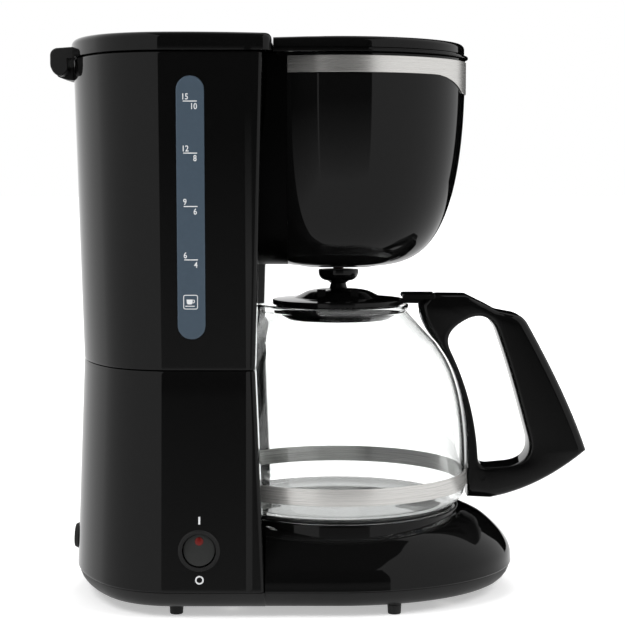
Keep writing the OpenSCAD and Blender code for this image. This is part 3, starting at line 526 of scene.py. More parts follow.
def brush_group() -> bpy.types.NodeTree:
    """Shared effect: hair-fine brush lines that run round an upright axis.

    Returns:
        The group, with Fineness, Low and High in, Roughness, Height and Shade out.
    """
    found = bpy.data.node_groups.get("brushed_lines")
    if found:
        return found
    tree = bpy.data.node_groups.new("brushed_lines", "ShaderNodeTree")
    for name, start in (("Fineness", 9000.0), ("Low", 0.2), ("High", 0.34)):
        socket = tree.interface.new_socket(name, in_out="INPUT", socket_type="NodeSocketFloat")
        socket.default_value = start
    for name, kind in (("Roughness", "NodeSocketFloat"), ("Height", "NodeSocketFloat"),
                       ("Shade", "NodeSocketColor")):
        tree.interface.new_socket(name, in_out="OUTPUT", socket_type=kind)
    nodes = Nodes(tree)
    given = nodes.add("NodeGroupInput")
    place = nodes.add("ShaderNodeTexCoord")
    apart = nodes.add("ShaderNodeSeparateXYZ")
    slow_x = nodes.add("ShaderNodeMath", operation="MULTIPLY")
    slow_y = nodes.add("ShaderNodeMath", operation="MULTIPLY")
    fast = nodes.add("ShaderNodeMath", operation="MULTIPLY")
    mixed = nodes.add("ShaderNodeCombineXYZ")
    lines = nodes.add("ShaderNodeTexNoise", Scale=1.0, Detail=5.0, Roughness=0.65)
    spread = nodes.add("ShaderNodeMapRange")
    tone = nodes.add("ShaderNodeValToRGB")
    out = nodes.add("NodeGroupOutput")
    nodes.link(place.outputs["Object"], apart.inputs[0])
    for math_node, axis, value in ((slow_x, "X", 24.0), (slow_y, "Y", 24.0)):
        nodes.link(apart.outputs[axis], math_node.inputs[0])
        math_node.inputs[1].default_value = value
    nodes.link(apart.outputs["Z"], fast.inputs[0])
    nodes.link(given.outputs["Fineness"], fast.inputs[1])
    for source, target in ((slow_x, "X"), (slow_y, "Y"), (fast, "Z")):
        nodes.link(source.outputs[0], mixed.inputs[target])
    nodes.link(mixed.outputs[0], lines.inputs["Vector"])
    nodes.link(lines.outputs["Fac"], spread.inputs["Value"])
    nodes.link(given.outputs["Low"], spread.inputs["To Min"])
    nodes.link(given.outputs["High"], spread.inputs["To Max"])
    nodes.link(lines.outputs["Fac"], tone.inputs["Fac"])
    tone.color_ramp.elements[0].position = 0.3
    tone.color_ramp.elements[0].color = (0.55, 0.54, 0.52, 1)
    tone.color_ramp.elements[1].position = 0.7
    tone.color_ramp.elements[1].color = (0.74, 0.73, 0.71, 1)
    nodes.link(spread.outputs["Result"], out.inputs["Roughness"])
    nodes.link(lines.outputs["Fac"], out.inputs["Height"])
    nodes.link(tone.outputs["Color"], out.inputs["Shade"])
    return tree


@dataclass(frozen=True)
class Finish:
    """A finish that is worked out once and then shared by its pieces."""

    name: str
    slot: str

    def material(self) -> bpy.types.Material:
        """The finish as a Blender material, made at its first use."""
        found = bpy.data.materials.get(self.name)
        if found:
            return found
        made = bpy.data.materials.new(self.name)
        made.use_nodes = True
        shader = made.node_tree.nodes["Principled BSDF"]
        self.lay(Nodes(made.node_tree), shader)
        return made

    def lay(self, nodes: Nodes, shader: bpy.types.Node) -> None:
        """Lays the finish's own nodes; each kind of finish has its own way.

        Args:
            nodes: Helper on the material's tree.
            shader: The material's Principled BSDF.
        """
        raise NotImplementedError


@dataclass(frozen=True)
class Moulding(Finish):
    """Moulded plastic: one colour, clouded gloss and a faint ripple in the skin."""

    colour: tuple = (0.0035, 0.0035, 0.0035)
    gloss_low: float = 0.02
    gloss_high: float = 0.05
    cloud: float = 22.0
    ripple: float = 700.0
    bump: float = 0.02
    depth: float = 0.00004
    specular: float = 0.19
    mottle: float = 0.15

    def lay(self, nodes: Nodes, shader: bpy.types.Node) -> None:
        """Lays colour, gloss and ripple.

        Args:
            nodes: Helper on the material's tree.
            shader: The material's Principled BSDF.
        """
        grain = nodes.add("ShaderNodeGroup", node_tree=grain_group())
        grain.inputs["Scale"].default_value = self.cloud
        grain.inputs["Low"].default_value = self.gloss_low
        grain.inputs["High"].default_value = self.gloss_high
        grain.inputs["Ripple"].default_value = self.ripple
        tone = nodes.add("ShaderNodeMix", data_type="RGBA")
        tone.inputs["A"].default_value = (*(c * (1 - self.mottle) for c in self.colour), 1)
        tone.inputs["B"].default_value = (*(c * (1 + self.mottle) for c in self.colour), 1)
        bump = nodes.add("ShaderNodeBump", Strength=self.bump, Distance=self.depth)
        nodes.link(grain.outputs["Height"], tone.inputs["Factor"])
        nodes.link(tone.outputs["Result"], shader.inputs["Base Color"])
        nodes.link(grain.outputs["Roughness"], shader.inputs["Roughness"])
        nodes.link(grain.outputs["Height"], bump.inputs["Height"])
        nodes.link(bump.outputs["Normal"], shader.inputs["Normal"])
        shader.inputs["Specular IOR Level"].default_value = self.specular


@dataclass(frozen=True)
class Brushed(Finish):
    """Brushed metal with fine lines round the axis."""

    low: float = 0.2
    high: float = 0.36
    fineness: float = 9000.0
    metallic: float = 1.0

    def lay(self, nodes: Nodes, shader: bpy.types.Node) -> None:
        """Lays shade, gloss and the height of the lines.

        Args:
            nodes: Helper on the material's tree.
            shader: The material's Principled BSDF.
        """
        lines = nodes.add("ShaderNodeGroup", node_tree=brush_group())
        lines.inputs["Fineness"].default_value = self.fineness
        lines.inputs["Low"].default_value = self.low
        lines.inputs["High"].default_value = self.high
        bump = nodes.add("ShaderNodeBump", Strength=0.08, Distance=0.00002)
        nodes.link(lines.outputs["Shade"], shader.inputs["Base Color"])
        nodes.link(lines.outputs["Roughness"], shader.inputs["Roughness"])
        nodes.link(lines.outputs["Height"], bump.inputs["Height"])
        nodes.link(bump.outputs["Normal"], shader.inputs["Normal"])
        shader.inputs["Metallic"].default_value = self.metallic


@dataclass(frozen=True)
class ClearGlass(Finish):
    """Clear glass, with a breath of change in its polish."""

    tint: tuple = (0.985, 0.995, 0.99)
    ior: float = 1.47

    def lay(self, nodes: Nodes, shader: bpy.types.Node) -> None:
        """Lays the clear body and its polish.

        Args:
            nodes: Helper on the material's tree.
            shader: The material's Principled BSDF.
        """
        grain = nodes.add("ShaderNodeGroup", node_tree=grain_group())
        grain.inputs["Scale"].default_value = 18.0
        grain.inputs["Low"].default_value = 0.0
        grain.inputs["High"].default_value = 0.012
        nodes.link(grain.outputs["Roughness"], shader.inputs["Roughness"])
        shader.inputs["Base Color"].default_value = (*self.tint, 1)
        shader.inputs["Transmission Weight"].default_value = 1.0
        shader.inputs["IOR"].default_value = self.ior


GLOSS_BLACK = Moulding("gloss_black_moulding", "black_gloss")
# The head frame wears a darker, barely glossy copy of the gloss black: painted shade for the frame that sits back
# between the column's wing and the holder.
SHADED_FRAME_BLACK = Moulding("frame_black_painted_shade", "black_gloss", colour=(0.0012, 0.0012, 0.0012), gloss_low=0.3,
                       gloss_high=0.4, specular=0.02)
SATIN_BLACK = Moulding("satin_black_moulding", "black_satin", colour=(0.013, 0.013, 0.013), gloss_low=0.34,
                       gloss_high=0.46, ripple=2600.0, bump=0.25, depth=0.00005)
BASE_PLATE_BLACK = Moulding("bottom_plate_black", "black_satin", colour=(0.016, 0.016, 0.016), gloss_low=0.42,
                            gloss_high=0.55, ripple=2200.0, bump=0.3, depth=0.00006)
ROCKER_GREY = Moulding("rocker_grey_plastic", "rocker_grey", colour=(0.03, 0.031, 0.03), gloss_low=0.3,
                       gloss_high=0.4, ripple=3200.0, bump=0.3, depth=0.00004)
GAUGE_TINT = Moulding("slate_gauge_window", "gauge_tint", colour=(0.061, 0.086, 0.114), gloss_low=0.1,
                      gloss_high=0.2, cloud=60.0, ripple=400.0, mottle=0.08)
LENS_RED = Moulding("red_lens", "lens_red", colour=(0.16, 0.012, 0.01), gloss_low=0.12, gloss_high=0.2)
RUBBER = Moulding("black_rubber", "rubber_black", colour=(0.018, 0.018, 0.018), gloss_low=0.6, gloss_high=0.75,
                  ripple=3000.0, bump=0.3, depth=0.00005)
PLATE_COAT = Moulding("plate_coating", "plate_coating", colour=(0.022, 0.022, 0.022), gloss_low=0.14,
                      gloss_high=0.22, ripple=2400.0, bump=0.35, depth=0.00005)
CERAMIC = Moulding("white_ceramic", "ceramic_white", colour=(0.7, 0.69, 0.64), gloss_low=0.35, gloss_high=0.5)
CLEAR_PLASTIC = Moulding("milky_plastic", "clear_plastic", colour=(0.6, 0.6, 0.57), gloss_low=0.2, gloss_high=0.3)
SILICONE = Moulding("silicone_hose", "silicone", colour=(0.5, 0.5, 0.47), gloss_low=0.45, gloss_high=0.6)
VALVE_RED = Moulding("valve_rubber_red", "valve_red", colour=(0.03, 0.006, 0.005), gloss_low=0.4, gloss_high=0.5)
MARK_WHITE = Moulding("white_print", "ceramic_white", colour=(0.78, 0.79, 0.8), gloss_low=0.4, gloss_high=0.5,
                      mottle=0.05)
# The two bands share one steel in lit and shaded copies. The carafe band's copy is half metallic, so the lamps
# brighten its colour as painted light. The trim band's copy is more metallic and darker, as painted shade.
CARAFE_BAND_LIT_STEEL = Brushed("carafe_band_steel_painted_light", "steel_brushed", metallic=0.5)
TRIM_BAND_SHADED_STEEL = Brushed("trim_band_steel_painted_shade", "steel_brushed", metallic=0.85)
PIN_STEEL = Brushed("pin_steel", "steel_pin", low=0.22, high=0.3, fineness=2500.0)
HEATER_ALU = Brushed("heater_aluminium", "heater_alu", low=0.38, high=0.5, fineness=1800.0)
GLASS = ClearGlass("carafe_clear_glass", "glass")


# ---- Column ----


@dataclass
class Column:
    """Water tank, lower housing and their shared, waisted outline."""

    waist_half_w: float = 82
    waist_rear: float = 148
    waist_front: float = 46
    corner_r: float = 45
    rear_r: float = 110
    rim_grow: float = 4.5
    foot_grow: float = 5
    seam_z: float = 135.5
    rim_z: float = 306
    wall: float = 2.5
    bay_r: float = 78
    shell_low: float = 15
    front_edge_r: float = 2.6
    tip_r: float = 1.6
    gauge_w: float = 15
    gauge_low: float = 152.5
    gauge_high: float = 293
    gauge_back: float = 80
    gauge_proud: float = 0.5
    # Ways through the tank's floor and the housing's deck: x, y and the radius of each
    ways: tuple = ((-112, 24, 7.2, 8.0), (-88.5, 0, 3.7, 6.0))

    def ways_bar(self, level: int) -> bpy.types.Object:
        """Bars that cut the ways for the outlet and the riser.

        Args:
            level: 0 for the tank's floor, 1 for the housing's deck.

        Returns:
            The bars as one object.
        """
        low, high = self.seam_z - 10, self.seam_z + 9
        bars = [prism("way", arc(way[:2], way[2 + level], 0, 360, 40)[:-1], low, high, 0.01, "z")
                for way in self.ways]
        return joined("way_cutters", bars)

    def grow(self, z) -> np.ndarray:
        """How much the outline stands out past the waist at a height."""
        z = np.asarray(z, float)
        up = self.rim_grow * (z - self.seam_z) / (self.rim_z - self.seam_z)
        down = self.foot_grow * (self.seam_z - z) / (self.seam_z - self.shell_low)
        return np.where(z > self.seam_z, up, down)

    def rear_half(self, grow: float) -> np.ndarray:
        """Outline of one rear corner and half of the bowed rear wall.

        The corner circle touches the flank and, from inside, the rear circle.

        Args:
            grow: How far the outline stands out past the waist.

        Returns:
            Points from the end of the near flank to the middle of the rear wall.
        """
        rear_x = -self.waist_rear + self.rear_r
        rise = self.waist_half_w - self.corner_r
        corner_x = rear_x - math.sqrt((self.rear_r - self.corner_r) ** 2 - rise**2)
        bow_angle = math.degrees(math.atan2(rise, rear_x - corner_x))
        corner = arc((corner_x, -rise), self.corner_r + grow, -90, -180 + bow_angle, 22)
        rear = arc((rear_x, 0), self.rear_r + grow, -180 + bow_angle, -180, 14)
        return np.vstack([corner, rear[1:]])

    def outline(self, grow: float, inset: float = 0.0) -> np.ndarray:
        """Plan of a housing with the carafe's bay taken out of its front.

        Args:
            grow: How far the outline stands out past the waist.
            inset: How far it is drawn in, all round and out of the bay.

        Returns:
            Closed outline (n, 2), symmetric about the middle.
        """
        size = grow - inset
        half, front = self.waist_half_w + size, -self.waist_front + size
        bay = self.bay_r + inset
        edge_r, tip_r = max(self.front_edge_r - inset, 0.4), self.tip_r
        tip_x = front - tip_r
        tip_y = -math.sqrt((bay + tip_r) ** 2 - tip_x**2)
        tip_turn = math.degrees(math.atan2(-tip_y, -tip_x))
        rear = self.rear_half(size)
        flank_back = rear[0]
        near = [
            straight(flank_back, (front - edge_r, -half), 6)[:-1],
            arc((front - edge_r, -half + edge_r), edge_r, -90, 0, 8),
            straight((front, -half + edge_r), (front, tip_y), 2)[1:-1],
            arc((tip_x, tip_y), tip_r, 0, tip_turn, 6),
        ]
        bay_turn = math.degrees(math.atan2(tip_y, tip_x))
        hollow = arc((0, 0), bay, bay_turn, -180, 36)[1:]
        half_loop = np.vstack([rear[::-1][:-1], *near, hollow])
        mirror = half_loop[::-1] * [1, -1]
        return np.vstack([half_loop, mirror[1:-1]])

    def ring(self, z: float, inset: float) -> np.ndarray:
        """Outline of the housing at a height, drawn in by an inset."""
        return at_height(self.outline(float(self.grow(z)), inset), z)

    def tank(self) -> bpy.types.Object:
        """Open tank: outer flank, rounded rim, inner flank and floor in one skin."""
        low, rim = self.seam_z + 0.2, self.rim_z
        turn = np.radians(np.linspace(0, 90, 5))
        rings = [self.ring(low + 0.5 * (1 - math.cos(a)), 0.5 * (1 - math.sin(a))) for a in turn]
        rings += [self.ring(z, 0) for z in (137.5, 150, 190, 230, 270, 300, 304.4)]
        rings += [self.ring(rim - 1.2 * (1 - math.sin(a)), 1.2 * (1 - math.cos(a))) for a in turn[1:]]
        rings += [self.ring(z, i) for z, i in ((rim, 1.6), (rim - 0.4, 2.2), (rim - 1.4, self.wall))]
        rings += [self.ring(z, self.wall) for z in (300, 230, 160, 143)]
        rings += [self.ring(z, i) for z, i in ((140.5, 3.0), (139.5, 5.0))]
        tank = loft("tank_body", rings)
        cut(tank, self.slot_bar("slot_cutter", self.gauge_w / 2 + 0.2, -8, 8))
        cut(tank, self.ways_bar(0))
        return tank

    def housing(self) -> bpy.types.Object:
        """Lower housing: open below, closed above by its deck."""
        top = self.seam_z
        turn = np.radians(np.linspace(0, 90, 5))
        rings = [self.ring(top - self.wall, self.wall + 1)]
        rings += [self.ring(z, self.wall) for z in (top - self.wall - 1, 90, 40, self.shell_low + 0.5)]
        rings += [self.ring(self.shell_low, i) for i in (2.0, 0.8)]
        rings += [self.ring(self.shell_low + 0.8 * (1 - math.cos(a)), 0.8 * (1 - math.sin(a))) for a in turn[1:]]
        rings += [self.ring(z, 0) for z in (17, 30, 60, 90, 120, 133)]
        rings += [self.ring(top - 1.4 * (1 - math.sin(a)), 1.4 * (1 - math.cos(a))) for a in turn[1:]]
        housing = loft("lower_housing_body", rings)
        cut(housing, SwitchSet().well_cutter(self))
        cut(housing, self.ways_bar(1))
        return housing

    def flank_turn(self) -> float:
        """Lean of the near flank above the waist, in radians."""
        return math.atan(self.rim_grow / (self.rim_z - self.seam_z))

    def on_gauge(self, points: np.ndarray) -> np.ndarray:
        """Points (across, out, up) about the gauge's middle, put on the leaning flank."""
        mid_z = (self.gauge_low + self.gauge_high) / 2
        flank = self.waist_half_w + float(self.grow(mid_z))
        lean = self.flank_turn()
        across, out, up = points[:, 0], points[:, 1], points[:, 2]
        y = -flank - out * math.cos(lean) - up * math.sin(lean)
        z = mid_z + up * math.cos(lean) - out * math.sin(lean)
        return np.column_stack([across - self.gauge_back, y, z])

    def stadium(self, radius: float, shrink: float = 0.0) -> np.ndarray:
        """Upright outline with round ends, of the gauge's height, drawn in by shrink."""
        half = (self.gauge_high - self.gauge_low) / 2 - self.gauge_w / 2
        r = radius - shrink
        return np.vstack([arc((0, half), r, 0, 180, 16), arc((0, -half), r, 180, 360, 16)])

    def slot_bar(self, name: str, radius: float, low: float, high: float) -> bpy.types.Object:
        """Bar with round ends that passes through the flank, used to cut the slot.

        Args:
            name: Name of the object.
            radius: Half of its width.
            low: Inner end, measured outwards from the flank.
            high: Outer end.

        Returns:
            The new object.
        """
        ends = self.stadium(radius)
        rings = [self.on_gauge(np.column_stack([ends[:, 0], np.full(len(ends), out), ends[:, 1]]))
                 for out in (low, high)]
        return loft(name, rings)

    def gauge(self) -> bpy.types.Object:
        """Gauge window: a bar in the slot whose face swells a little past the flank."""
        half = self.gauge_w / 2
        rows = [(-4.0, 0.3), (-0.4, 0.0), (self.gauge_proud - 0.35, 0.0), (self.gauge_proud - 0.1, 0.15),
                (self.gauge_proud, 0.5), (self.gauge_proud, 1.2)]
        rings = []
        for out, shrink in rows:
            ends = self.stadium(half, shrink)
            rings.append(self.on_gauge(np.column_stack([ends[:, 0], np.full(len(ends), out), ends[:, 1]])))
        return loft("gauge_window", rings)

    def build(self) -> None:
        """Builds and dresses the two housings and the gauge window."""
        seat(self.tank(), Body.MACHINE, GLOSS_BLACK, "tank_shell")
        seat(self.housing(), Body.MACHINE, GLOSS_BLACK, "lower_housing")
        seat(self.gauge(), Body.MACHINE, GAUGE_TINT, "level_gauge")


@dataclass
class GaugeMarks:
    """White cup scale on the gauge window: two columns of numbers, lines and a cup sign."""

    column: Column = field(default_factory=Column)
    print_depth: float = 0.06
    figure_h: float = 3.3
    # Rows of (height of the line, large-cup figure, small-cup figure)
    rows: tuple = ((279.6, "15", "10"), (252.2, "12", "8"), (223.9, "9", "6"), (195.4, "6", "4"))

    def place(self, flat: np.ndarray) -> np.ndarray:
        """Flat print (across, height, thickness) laid on the window's face."""
        mid_z = (self.column.gauge_low + self.column.gauge_high) / 2
        out = self.column.gauge_proud + 0.01 + flat[:, 2]
        return self.column.on_gauge(np.column_stack([flat[:, 0], out, flat[:, 1] - mid_z]))

    def strip(self, name: str, outline: np.ndarray) -> bpy.types.Object:
        """Flat printed shape with its thin edge.

        Args:
            name: Name of the object.
            outline: Closed outline (across, height).

        Returns:
            The new object.
        """
        rings = [self.place(at_height(outline, level)) for level in (0.0, self.print_depth)]
        return loft(name, rings)

    def bar(self, left: float, right: float, z: float, thick: float) -> bpy.types.Object:
        """Level line between two places across the window."""
        box = [(left, z - thick / 2), (right, z - thick / 2), (right, z + thick / 2), (left, z + thick / 2)]
        return self.strip("line", np.asarray(box))

    def figure(self, text: str, left: float, low: float) -> bpy.types.Object:
        """Number set in a plain face, as a mesh on the window.

        Args:
            text: Digits of the number.
            left: Left edge across the window.
            low: Foot of the digits.

        Returns:
            The new object.
        """
        curve = bpy.data.curves.new("figure", "FONT")
        curve.body = text
        curve.size = self.figure_h / 0.73
        curve.extrude = self.print_depth / 2
        curve.offset = 0.05
        curve.resolution_u = 4
        holder = bpy.data.objects.new("figure_source", curve)
        bpy.context.scene.collection.objects.link(holder)
        bpy.context.view_layer.update()
        mesh = bpy.data.meshes.new_from_object(holder.evaluated_get(bpy.context.evaluated_depsgraph_get()))
        bpy.data.objects.remove(holder)
        flat = np.zeros(len(mesh.vertices) * 3, np.float32)
        mesh.vertices.foreach_get("co", flat)
        flat = flat.reshape(-1, 3).astype(float)
        flat[:, 0] = (flat[:, 0] - flat[:, 0].min()) * 0.86 + left
        flat[:, 1] += low
        flat[:, 2] += self.print_depth / 2
        mesh.vertices.foreach_set("co", in_frame(self.place(flat)).astype(np.float32).ravel())
        clean(mesh)
        made = bpy.data.objects.new("figure", mesh)
        bpy.context.scene.collection.objects.link(made)
        return made

    def frame_ring(self, centre: tuple, half: float, line: float, radius: float) -> bpy.types.Object:
        """Rounded square drawn as a thin closed line.

        Args:
            centre: Middle (across, height).
            half: Half of its outer side.
            line: Thickness of the line.
            radius: Radius of its corners.

        Returns:
            The new object.
        """
        square = np.array([[-1, -1], [1, -1], [1, 1], [-1, 1]], float)
        loops = []
        for side, corner in ((half, radius), (half - line, radius - line)):
            rows = np.column_stack([square * side + centre, np.full(4, corner)])
            loops.append(rounded(rows, closed=True, steps=4))
        outer, inner = loops
        grid = [self.place(at_height(loop, level)) for loop, level in
                ((outer, 0.0), (outer, self.print_depth), (inner, self.print_depth), (inner, 0.0))]
        return loft("frame", grid, wrap=True)

    def cup_sign(self, centre: tuple) -> list:
        """Plain cup and saucer with a handle, in a rounded square.

        Args:
            centre: Middle (across, height).

        Returns:
            The sign's objects.
        """
        across, up = centre
        cup = rounded([(across - 2.2, up + 1.4, 0.1), (across - 1.9, up - 1.2, 0.8), (across + 0.9, up - 1.2, 0.8),
                       (across + 1.2, up + 1.4, 0.1)], closed=True)
        handle = arc((across + 1.3, up + 0.4), 1.0, 80, -100, 10)
        loop = np.vstack([handle, arc((across + 1.3, up + 0.4), 0.6, -100, 80, 10)])
        return [
            self.frame_ring((across, up), 3.9, 0.4, 1.2),
            self.strip("cup", cup),
            self.strip("cup_handle", loop),
            self.bar(across - 2.8, across + 2.2, up - 2.2, 0.45),
        ]

    def build(self) -> None:
        """Builds the whole scale as one printed piece."""
        parts = []
        for z, large, small in self.rows:
            parts.append(self.bar(-3.7, 3.7, z, 0.5))
            parts.append(self.figure(large, -3.9, z + 0.9))
            parts.append(self.figure(small, 0.7 if len(small) == 2 else 1.6, z - 0.9 - self.figure_h))
        parts += self.cup_sign((-0.4, 172.7))
        seat(joined("gauge_scale", parts), Body.MACHINE, MARK_WHITE)


@dataclass
class TankLid:
    """Domed tank lid and the lugs that it turns on."""

    column: Column = field(default_factory=Column)
    low: float = 306.4
    crown: float = 12
    dome_r: float = 1600
    lip: float = 1
    wall: float = 2.5
    dome_x: float = -85
    middle_x: float = -95
    top_edge_r: float = 3.2
    hinge_z: float = 299
    hinge_back: float = 5.5
    knuckle_r: float = 3.1
    lug_back: float = 5.2
    lug_inner: float = 14.5
    lug_outer: float = 26
    bracket_half: float = 14
    front_reach: float = 3.7

    def hinge_x(self) -> float:
        """Place of the hinge axis behind the carafe's axis."""
        return -(self.column.waist_rear + self.column.rim_grow + self.hinge_back)

    def plan(self, inset: float) -> np.ndarray:
        """Plan of the lid without the bay: rear as the column's, front straight with round corners."""
        size = self.column.rim_grow + self.lip - inset
        half, front = self.column.waist_half_w + size, -self.column.waist_front + self.front_reach + size
        rear = self.column.rear_half(size)
        edge_r = max(6 - inset, 1.5)
        near = [
            straight(rear[0], (front - edge_r, -half), 6)[:-1],
            arc((front - edge_r, -half + edge_r), edge_r, -90, 0, 8),
            straight((front, -half + edge_r), (front, 0), 3)[1:],
        ]
        half_loop = np.vstack([rear[::-1][:-1], *near])
        mirror = half_loop[::-1] * [1, -1]
        return np.vstack([half_loop, mirror[1:-1]])

    def dome(self, plan: np.ndarray, drop: float = 0.0) -> np.ndarray:
        """Height of the dome over plan points: crown - (R - sqrt(R^2 - d^2))."""
        d2 = (plan[:, 0] - self.dome_x) ** 2 + plan[:, 1] ** 2
        return self.low + self.crown - drop - (self.dome_r - np.sqrt(self.dome_r**2 - d2))

    def cap(self) -> bpy.types.Object:
        """Lid shell: hollow below, rounded top edge and domed crown."""
        centre = np.array([self.middle_x, 0.0])
        shares = np.array([0.02, 0.2, 0.4, 0.6, 0.8, 0.93])
        inner, outer = self.plan(self.wall), self.plan(self.top_edge_r)
        rings = []
        for share in shares:
            plan = centre + (inner - centre) * share
            rings.append(at_height(plan, self.dome(plan, self.wall)))
        rings.append(at_height(inner, self.dome(inner, self.wall)))
        rings.append(at_height(inner, self.low + 0.4))
        for inset, rise in ((self.wall - 0.4, 0), (0.5, 0), (0.12, 0.15), (0, 0.6), (0, 3)):
            rings.append(at_height(self.plan(inset), self.low + rise))
        r = self.top_edge_r
        for turn in np.radians(np.linspace(0, 90, 9)):
            plan = self.plan(r * (1 - math.cos(turn)))
            rings.append(at_height(plan, self.dome(plan) - r * (1 - math.sin(turn))))
        for share in shares[::-1]:
            plan = centre + (outer - centre) * share
            rings.append(at_height(plan, self.dome(plan)))
        return loft("tank_lid_cap", rings)

    def lug(self, side: Side) -> bpy.types.Object:
        """One hinge lug: an eye round the pin whose arm rises behind the rim into the lid.

        Args:
            side: Flank that the lug stands on.

        Returns:
            The new object.
        """
        up = self.low - self.hinge_z
        reach = self.hinge_back - 0.8
        shape = [(reach, 0.4, 1), (1.0, -self.knuckle_r, 2.2), (-self.knuckle_r, -1.4, 2.2),
                 (-self.lug_back, 2.8, 1.6), (-self.lug_back, up + 3.2, 2), (-self.lug_back + 2.4, up + 5.6, 2),
                 (self.hinge_back + 3.2, up + 6.4, 0.5), (self.hinge_back + 3.2, up + 0.3, 0.3),
                 (reach, up + 0.3, 0.3)]
        outline = rounded(shape, closed=True) + [self.hinge_x(), self.hinge_z]
        ends = sorted(side.value * y for y in (self.lug_inner, self.lug_outer))
        return prism("lug_" + side.name.lower(), outline, *ends, edge=0.6)

    def bracket(self) -> bpy.types.Object:
        """Knuckle between the lugs, on a short arm that tapers to the tank's rear wall."""
        into_wall = self.hinge_back + 1
        shape = [(into_wall, 3.2, 0.4), (into_wall, -4.4, 0.4), (3.4, -4.2, 1.2), (0.6, -self.knuckle_r - 0.4, 2),
                 (-3.4, -2.2, 2.2), (-3.4, 2.2, 2.2), (0, 3.6, 2)]
        outline = rounded(shape, closed=True) + [self.hinge_x(), self.hinge_z]
        return prism("bracket_body", outline, -self.bracket_half, self.bracket_half, edge=0.4)

    def build(self) -> None:
        """Builds and dresses the lid with its lugs."""
        seat(self.cap(), Body.LID, GLOSS_BLACK, "tank_lid")
        lugs = joined("tank_lid_lugs", [self.lug(side) for side in Side])
        seat(lugs, Body.LID, SATIN_BLACK)
        seat(self.bracket(), Body.MACHINE, SATIN_BLACK, "lid_hinge_bracket")


# ---- Switch ----


@dataclass
class SwitchSet:
    """Round rocker switch on the near flank, with its printed I and O."""

    back: float = 76.5
    z: float = 38
    rocker_r: float = 9
    tilt: float = 7
    drop: float = 2.7
    print_depth: float = 0.06

    def on_flank(self, column: Column, points: np.ndarray) -> np.ndarray:
        """Points (across, up, out) about the switch, put on the leaning flank."""
        flank = column.waist_half_w + float(column.grow(self.z))
        lean = math.atan(column.foot_grow / (column.seam_z - column.shell_low))
        across, up, out = points[:, 0], points[:, 1], points[:, 2]
        y = -flank - out * math.cos(lean) + up * math.sin(lean)
        z = self.z + up * math.cos(lean) + out * math.sin(lean)
        return np.column_stack([across - self.back, y, z])

    def well_cutter(self, column: Column) -> bpy.types.Object:
        """Round bar through the flank that makes the switch's hole."""
        disc = arc((0, 0), self.rocker_r + 1.4, 0, 360, 64)[:-1]
        rings = [self.on_flank(column, at_height(disc, out)) for out in (-9.0, 9.0)]
        return loft("well_cutter", rings)

    def on_rocker(self, column: Column, points: np.ndarray) -> np.ndarray:
        """Points (across, up, out) about the rocker's axis, tilted and put on the flank."""
        tilt = math.radians(self.tilt)
        up = points[:, 1] * math.cos(tilt) + points[:, 2] * math.sin(tilt)
        out = points[:, 2] * math.cos(tilt) - points[:, 1] * math.sin(tilt) - self.drop
        return self.on_flank(column, np.column_stack([points[:, 0], up, out]))

    def face(self, up: np.ndarray) -> np.ndarray:
        """Height of the rocker's face: 1.6 + tan(tilt) (sqrt(up^2 + 4) - 2), a soft valley."""
        return 1.6 + math.tan(math.radians(self.tilt)) * (np.sqrt(up**2 + 4) - 2)

    def rocker(self, column: Column) -> bpy.types.Object:
        """Round rocker: flat below, straight flank, soft rim and the valley across its face."""
        turn = arc((0, 0), 1, 0, 360, 96)[:-1]
        side_r = self.rocker_r - 0.25
        rows = [(share * side_r, None) for share in (0.03, 0.2, 0.4, 0.6, 0.8, 0.91)]
        rows += [(side_r - 0.6 * (1 - math.sin(a)), 0.6 * (1 - math.cos(a)))
                 for a in np.radians((0, 25, 50, 70, 90))]
        rings = []
        for radius, fall in rows:
            plan = turn * radius
            rings.append(at_height(plan, self.face(plan[:, 1]) - (fall or 0.0)))
        rings.append(at_height(turn * side_r, -3.0))
        rings.append(at_height(turn * (side_r - 0.5), -3.5))
        return loft("rocker_body", [self.on_rocker(column, ring) for ring in rings])

    def lens(self, column: Column) -> bpy.types.Object:
        """Small domed lens set into the rocker's upper half."""
        middle = 0.52 * self.rocker_r
        turn = arc((0, 0), 1, 0, 360, 48)[:-1]
        rings = []
        for radius, rise in ((2.3, -1.0), (2.3, 0.05), (2.15, 0.2), (1.7, 0.34), (0.9, 0.45), (0.1, 0.48)):
            plan = turn * radius + [0, middle]
            rings.append(at_height(plan, self.face(plan[:, 1]) + rise))
        return loft("lens_dome", [self.on_rocker(column, ring) for ring in rings])

    def marks(self, column: Column) -> bpy.types.Object:
        """Printed I over the rocker and O under it."""
        stroke = np.array([(-0.5, -2.1), (0.5, -2.1), (0.5, 2.1), (-0.5, 2.1)]) + [0.2, 16.4]
        parts = [loft("mark_on", [self.on_flank(column, at_height(stroke, d))
                                  for d in (0.01, self.print_depth)])]
        outer = arc((0.2, -16.0), 2.35, 0, 360, 40)[:-1]
        inner = arc((0.2, -16.0), 1.55, 0, 360, 40)[:-1]
        grid = [self.on_flank(column, at_height(loop, d)) for loop, d in
                ((outer, 0.01), (outer, self.print_depth), (inner, self.print_depth), (inner, 0.01))]
        parts.append(loft("mark_off", grid, wrap=True))
        return joined("switch_marks", parts)

    def build(self) -> None:
        """Builds and dresses the switch."""
        seat(copy_of("switch_bezel", 0.25), Body.MACHINE, SATIN_BLACK, "switch_bezel")
        seat(self.rocker(Column()), Body.ROCKER, ROCKER_GREY, "switch_rocker")
        seat(self.lens(Column()), Body.ROCKER, LENS_RED, "switch_lens")
        seat(self.marks(Column()), Body.MACHINE, MARK_WHITE)


# ---- Base ----


